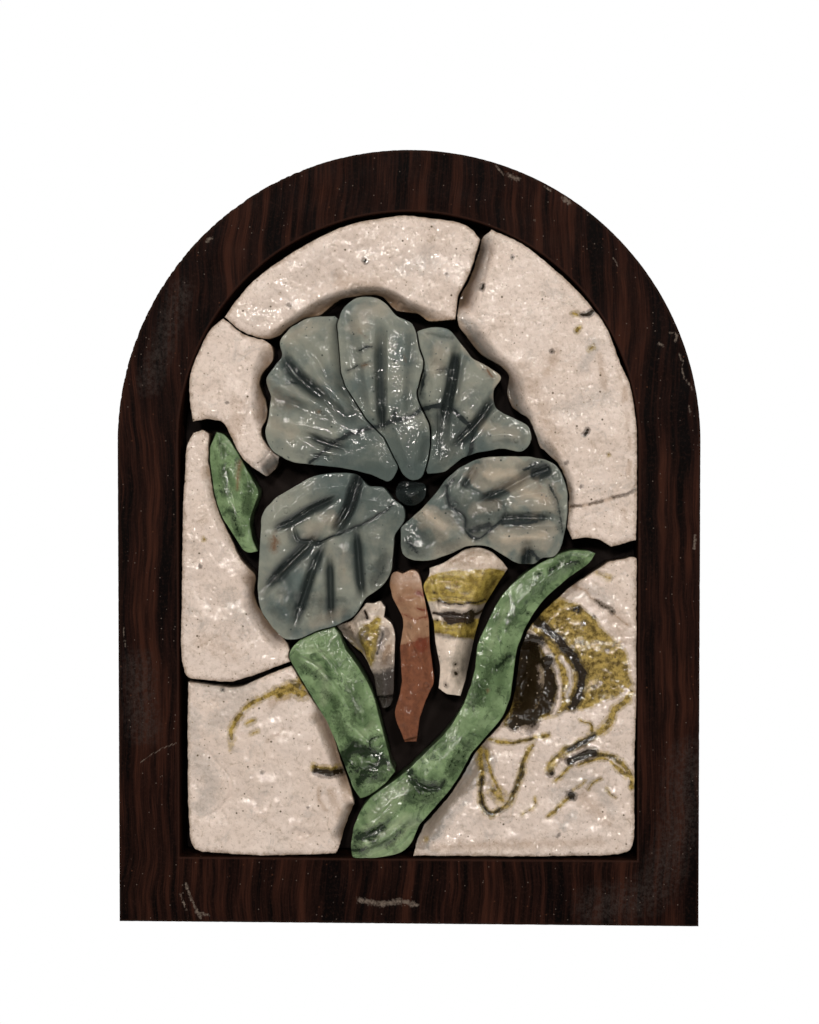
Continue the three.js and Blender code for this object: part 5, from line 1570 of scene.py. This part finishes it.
def frame_wood():
    material, tree, shader = start_material("frame_wood")
    where = place_in_millimetres(tree)
    colours = (0.0021, 0.0012, 0.0011), (0.0118, 0.0043, 0.003), (0.035, 0.0118, 0.007)
    colour, level, fine = wood_colour(tree, *colours, 3.2)
    worn = between(tree, mask(tree, "arris"), 0.3, 1.0, 0, 0.3)
    colour = blend(tree, worn, colour, (0.03, 0.015, 0.01))
    grit = maths(tree, "MULTIPLY", cloud(tree, where, 0.7, 4.0, 0.72), 1.1)
    scuffed = maths(tree, "MULTIPLY", mask(tree, "scuff"), grit)
    colour = blend(tree, between(tree, scuffed, 0.28, 0.55, 0, 0.85), colour, (0.17, 0.135, 0.11))
    paler = between(tree, cloud(tree, where, 0.8, 3.0, 0.7), 0.52, 0.68, 0, 0.3)
    colour = blend(tree, paler, colour, (0.03, 0.0125, 0.0085))
    dust = maths(tree, "MULTIPLY", specks(tree, where, 2.0, 0.24, 0.5), 0.7)
    colour = blend(tree, dust, colour, (0.13, 0.1, 0.082))
    chips = specks(tree, where, 3.4, 0.32, 0.4)
    colour = blend(tree, chips, colour, (0.05, 0.019, 0.01))
    patchy = between(tree, cloud(tree, where, 1.1, 6.0, 0.8), 0.42, 0.66, 0.15, 1.0)
    greyed = maths(tree, "MULTIPLY", mask(tree, "haze"), patchy)
    colour = blend(tree, between(tree, greyed, 0.1, 0.9, 0, 0.6), colour, (0.045, 0.035, 0.031))
    inner_line = between(tree, mask(tree, "inner"), 0.55, 0.9, 0, 0.6)
    colour = blend(tree, inner_line, colour, (0.028, 0.011, 0.0075))
    tree.links.new(colour, shader.inputs["Base Color"])
    matte = between(tree, cloud(tree, where, 6, 4.0, 0.6), 0.3, 0.7, 0.42, 0.6)
    tree.links.new(matte, shader.inputs["Roughness"])
    shader.inputs["Specular IOR Level"].default_value = 0.025
    height = maths(tree, "ADD", maths(tree, "MULTIPLY", fine, 0.05), maths(tree, "MULTIPLY", level, 0.05))
    tree.links.new(bump(tree, height), shader.inputs["Normal"])
    return material


def backing_wood():
    material, tree, shader = start_material("backing_wood")
    where = place_in_millimetres(tree)
    colours = (0.022, 0.013, 0.009), (0.05, 0.029, 0.018), (0.085, 0.05, 0.03)
    colour, _, fine = wood_colour(tree, *colours, 5.0)
    depth = add(tree, "ShaderNodeSeparateXYZ", {"Vector": where}).outputs["Y"]
    glue = between(tree, depth, -BACKING_FACE + 0.3, -BACKING_FACE + 0.15)
    colour = blend(tree, glue, colour, (0.014, 0.009, 0.0075))
    tree.links.new(colour, shader.inputs["Base Color"])
    matte = between(tree, cloud(tree, where, 8, 4.0, 0.6), 0.3, 0.7, 0.55, 0.75)
    tree.links.new(matte, shader.inputs["Roughness"])
    shader.inputs["Specular IOR Level"].default_value = 0.1
    tree.links.new(bump(tree, maths(tree, "MULTIPLY", fine, 0.06)), shader.inputs["Normal"])
    return material


glasses = {
    "ground_glass": ground_glass(),
    "petal_glass": petal_glass(),
    "leaf_glass": leaf_glass(),
    "stem_glass": stem_glass(),
    "banded_glass": banded_glass(),
}
for node, stone in STONES.items():
    make_stone(node, stone, glasses[stone["glass"]])
make_frame(frame_wood())
make_backing(backing_wood())

# Floor, light and camera, in metres
FLOOR_SPAN = 1.5
FLOOR_LEVEL = -1.2
MIDDLE = (0, -0.02, 0)

# The studio's lamps: (name, place, width, height, power)
LAMPS = [
    ("front-above", (-0.12, -2.05, 0.5), 0.16, 0.14, 9),
    ("front-high", (0.3, -1.95, 0.85), 0.16, 0.14, 6),
    ("front-left", (-1.0, -1.75, 0.6), 0.14, 0.2, 8),
    ("front-right", (0.9, -1.85, 0.42), 0.14, 0.18, 7),
    ("upper-left", (-1.2, -1.25, 1.4), 0.26, 0.26, 8),
    ("upper-right", (1.25, -1.4, 1.2), 0.26, 0.26, 6.5),
    ("back-fill", (0.0, 0.9, 0.6), 1.2, 1.2, 10),
]

# The camera, from the fit of the frame's outline in the photo
YAW, PITCH = math.radians(2.19), math.radians(1.64)
EYE_DISTANCE = 0.6
EYE_RIGHT, EYE_UP = 0.00067, 0.008
FOCAL_PIXELS = 1943.5
PICTURE_HEIGHT = 1024
SENSOR_HEIGHT = 36


def lamp(name, place, width, height, power):
    """A soft lamp, turned to the middle of the panel"""
    data = bpy.data.lights.new(name, "AREA")
    data.shape = "RECTANGLE"
    data.size, data.size_y = width, height
    data.energy = power
    data.color = (1.0, 0.955, 0.9)
    made = bpy.data.objects.new(name, data)
    made.location = place
    made.rotation_mode = "QUATERNION"
    made.rotation_quaternion = (Vector(MIDDLE) - Vector(place)).to_track_quat("-Z", "Y")
    bpy.context.scene.collection.objects.link(made)


floor_mesh = bpy.data.meshes.new("floor")
corners = [(x * FLOOR_SPAN, y * FLOOR_SPAN, FLOOR_LEVEL) for x, y in ((-1, -1), (1, -1), (1, 1), (-1, 1))]
floor_mesh.from_pydata(corners, [], [(0, 1, 2, 3)])
floor = bpy.data.objects.new("floor", floor_mesh)
bpy.context.scene.collection.objects.link(floor)
floor_material, _, floor_shader = start_material("pale_floor")
floor_shader.inputs["Base Color"].default_value = (0.85, 0.85, 0.84, 1)
floor_shader.inputs["Roughness"].default_value = 0.8
floor_mesh.materials.append(floor_material)

world = bpy.data.worlds.new("studio")
bpy.context.scene.world = world
world.use_nodes = True
world_tree = world.node_tree
world_tree.nodes.clear()

# White behind the panel, while the light from all round is dim
seen = add(world_tree, "ShaderNodeBackground", {"Color": (1, 1, 1, 1), "Strength": 1.0}).outputs[0]
dim = add(world_tree, "ShaderNodeBackground", {"Color": (1, 0.98, 0.96, 1), "Strength": 0.13}).outputs[0]
to_camera = add(world_tree, "ShaderNodeLightPath").outputs["Is Camera Ray"]
joined = add(world_tree, "ShaderNodeMixShader", {0: to_camera, 1: dim, 2: seen}).outputs[0]
add(world_tree, "ShaderNodeOutputWorld", {"Surface": joined})

for name, place, width, height, power in LAMPS:
    lamp(name, place, width, height, power)

forward = Vector((-math.sin(YAW) * math.cos(PITCH), math.cos(YAW) * math.cos(PITCH), -math.sin(PITCH)))
right = Vector((math.cos(YAW), math.sin(YAW), 0))
up = right.cross(forward)
aim = Vector((0, -FACE, 120 + BOTTOM)) / 1000
eye = aim - forward * EYE_DISTANCE + right * EYE_RIGHT + up * EYE_UP
camera_data = bpy.data.cameras.new("camera")
camera_data.sensor_fit = "VERTICAL"
camera_data.sensor_height = SENSOR_HEIGHT
camera_data.lens = FOCAL_PIXELS / PICTURE_HEIGHT * SENSOR_HEIGHT
camera_data.clip_start = 0.01
camera = bpy.data.objects.new("camera", camera_data)
camera.matrix_world = Matrix.Translation(eye) @ Matrix((right, up, -forward)).transposed().to_4x4()
bpy.context.scene.collection.objects.link(camera)
bpy.context.scene.camera = camera
bpy.context.scene.view_settings.view_transform = "Standard"
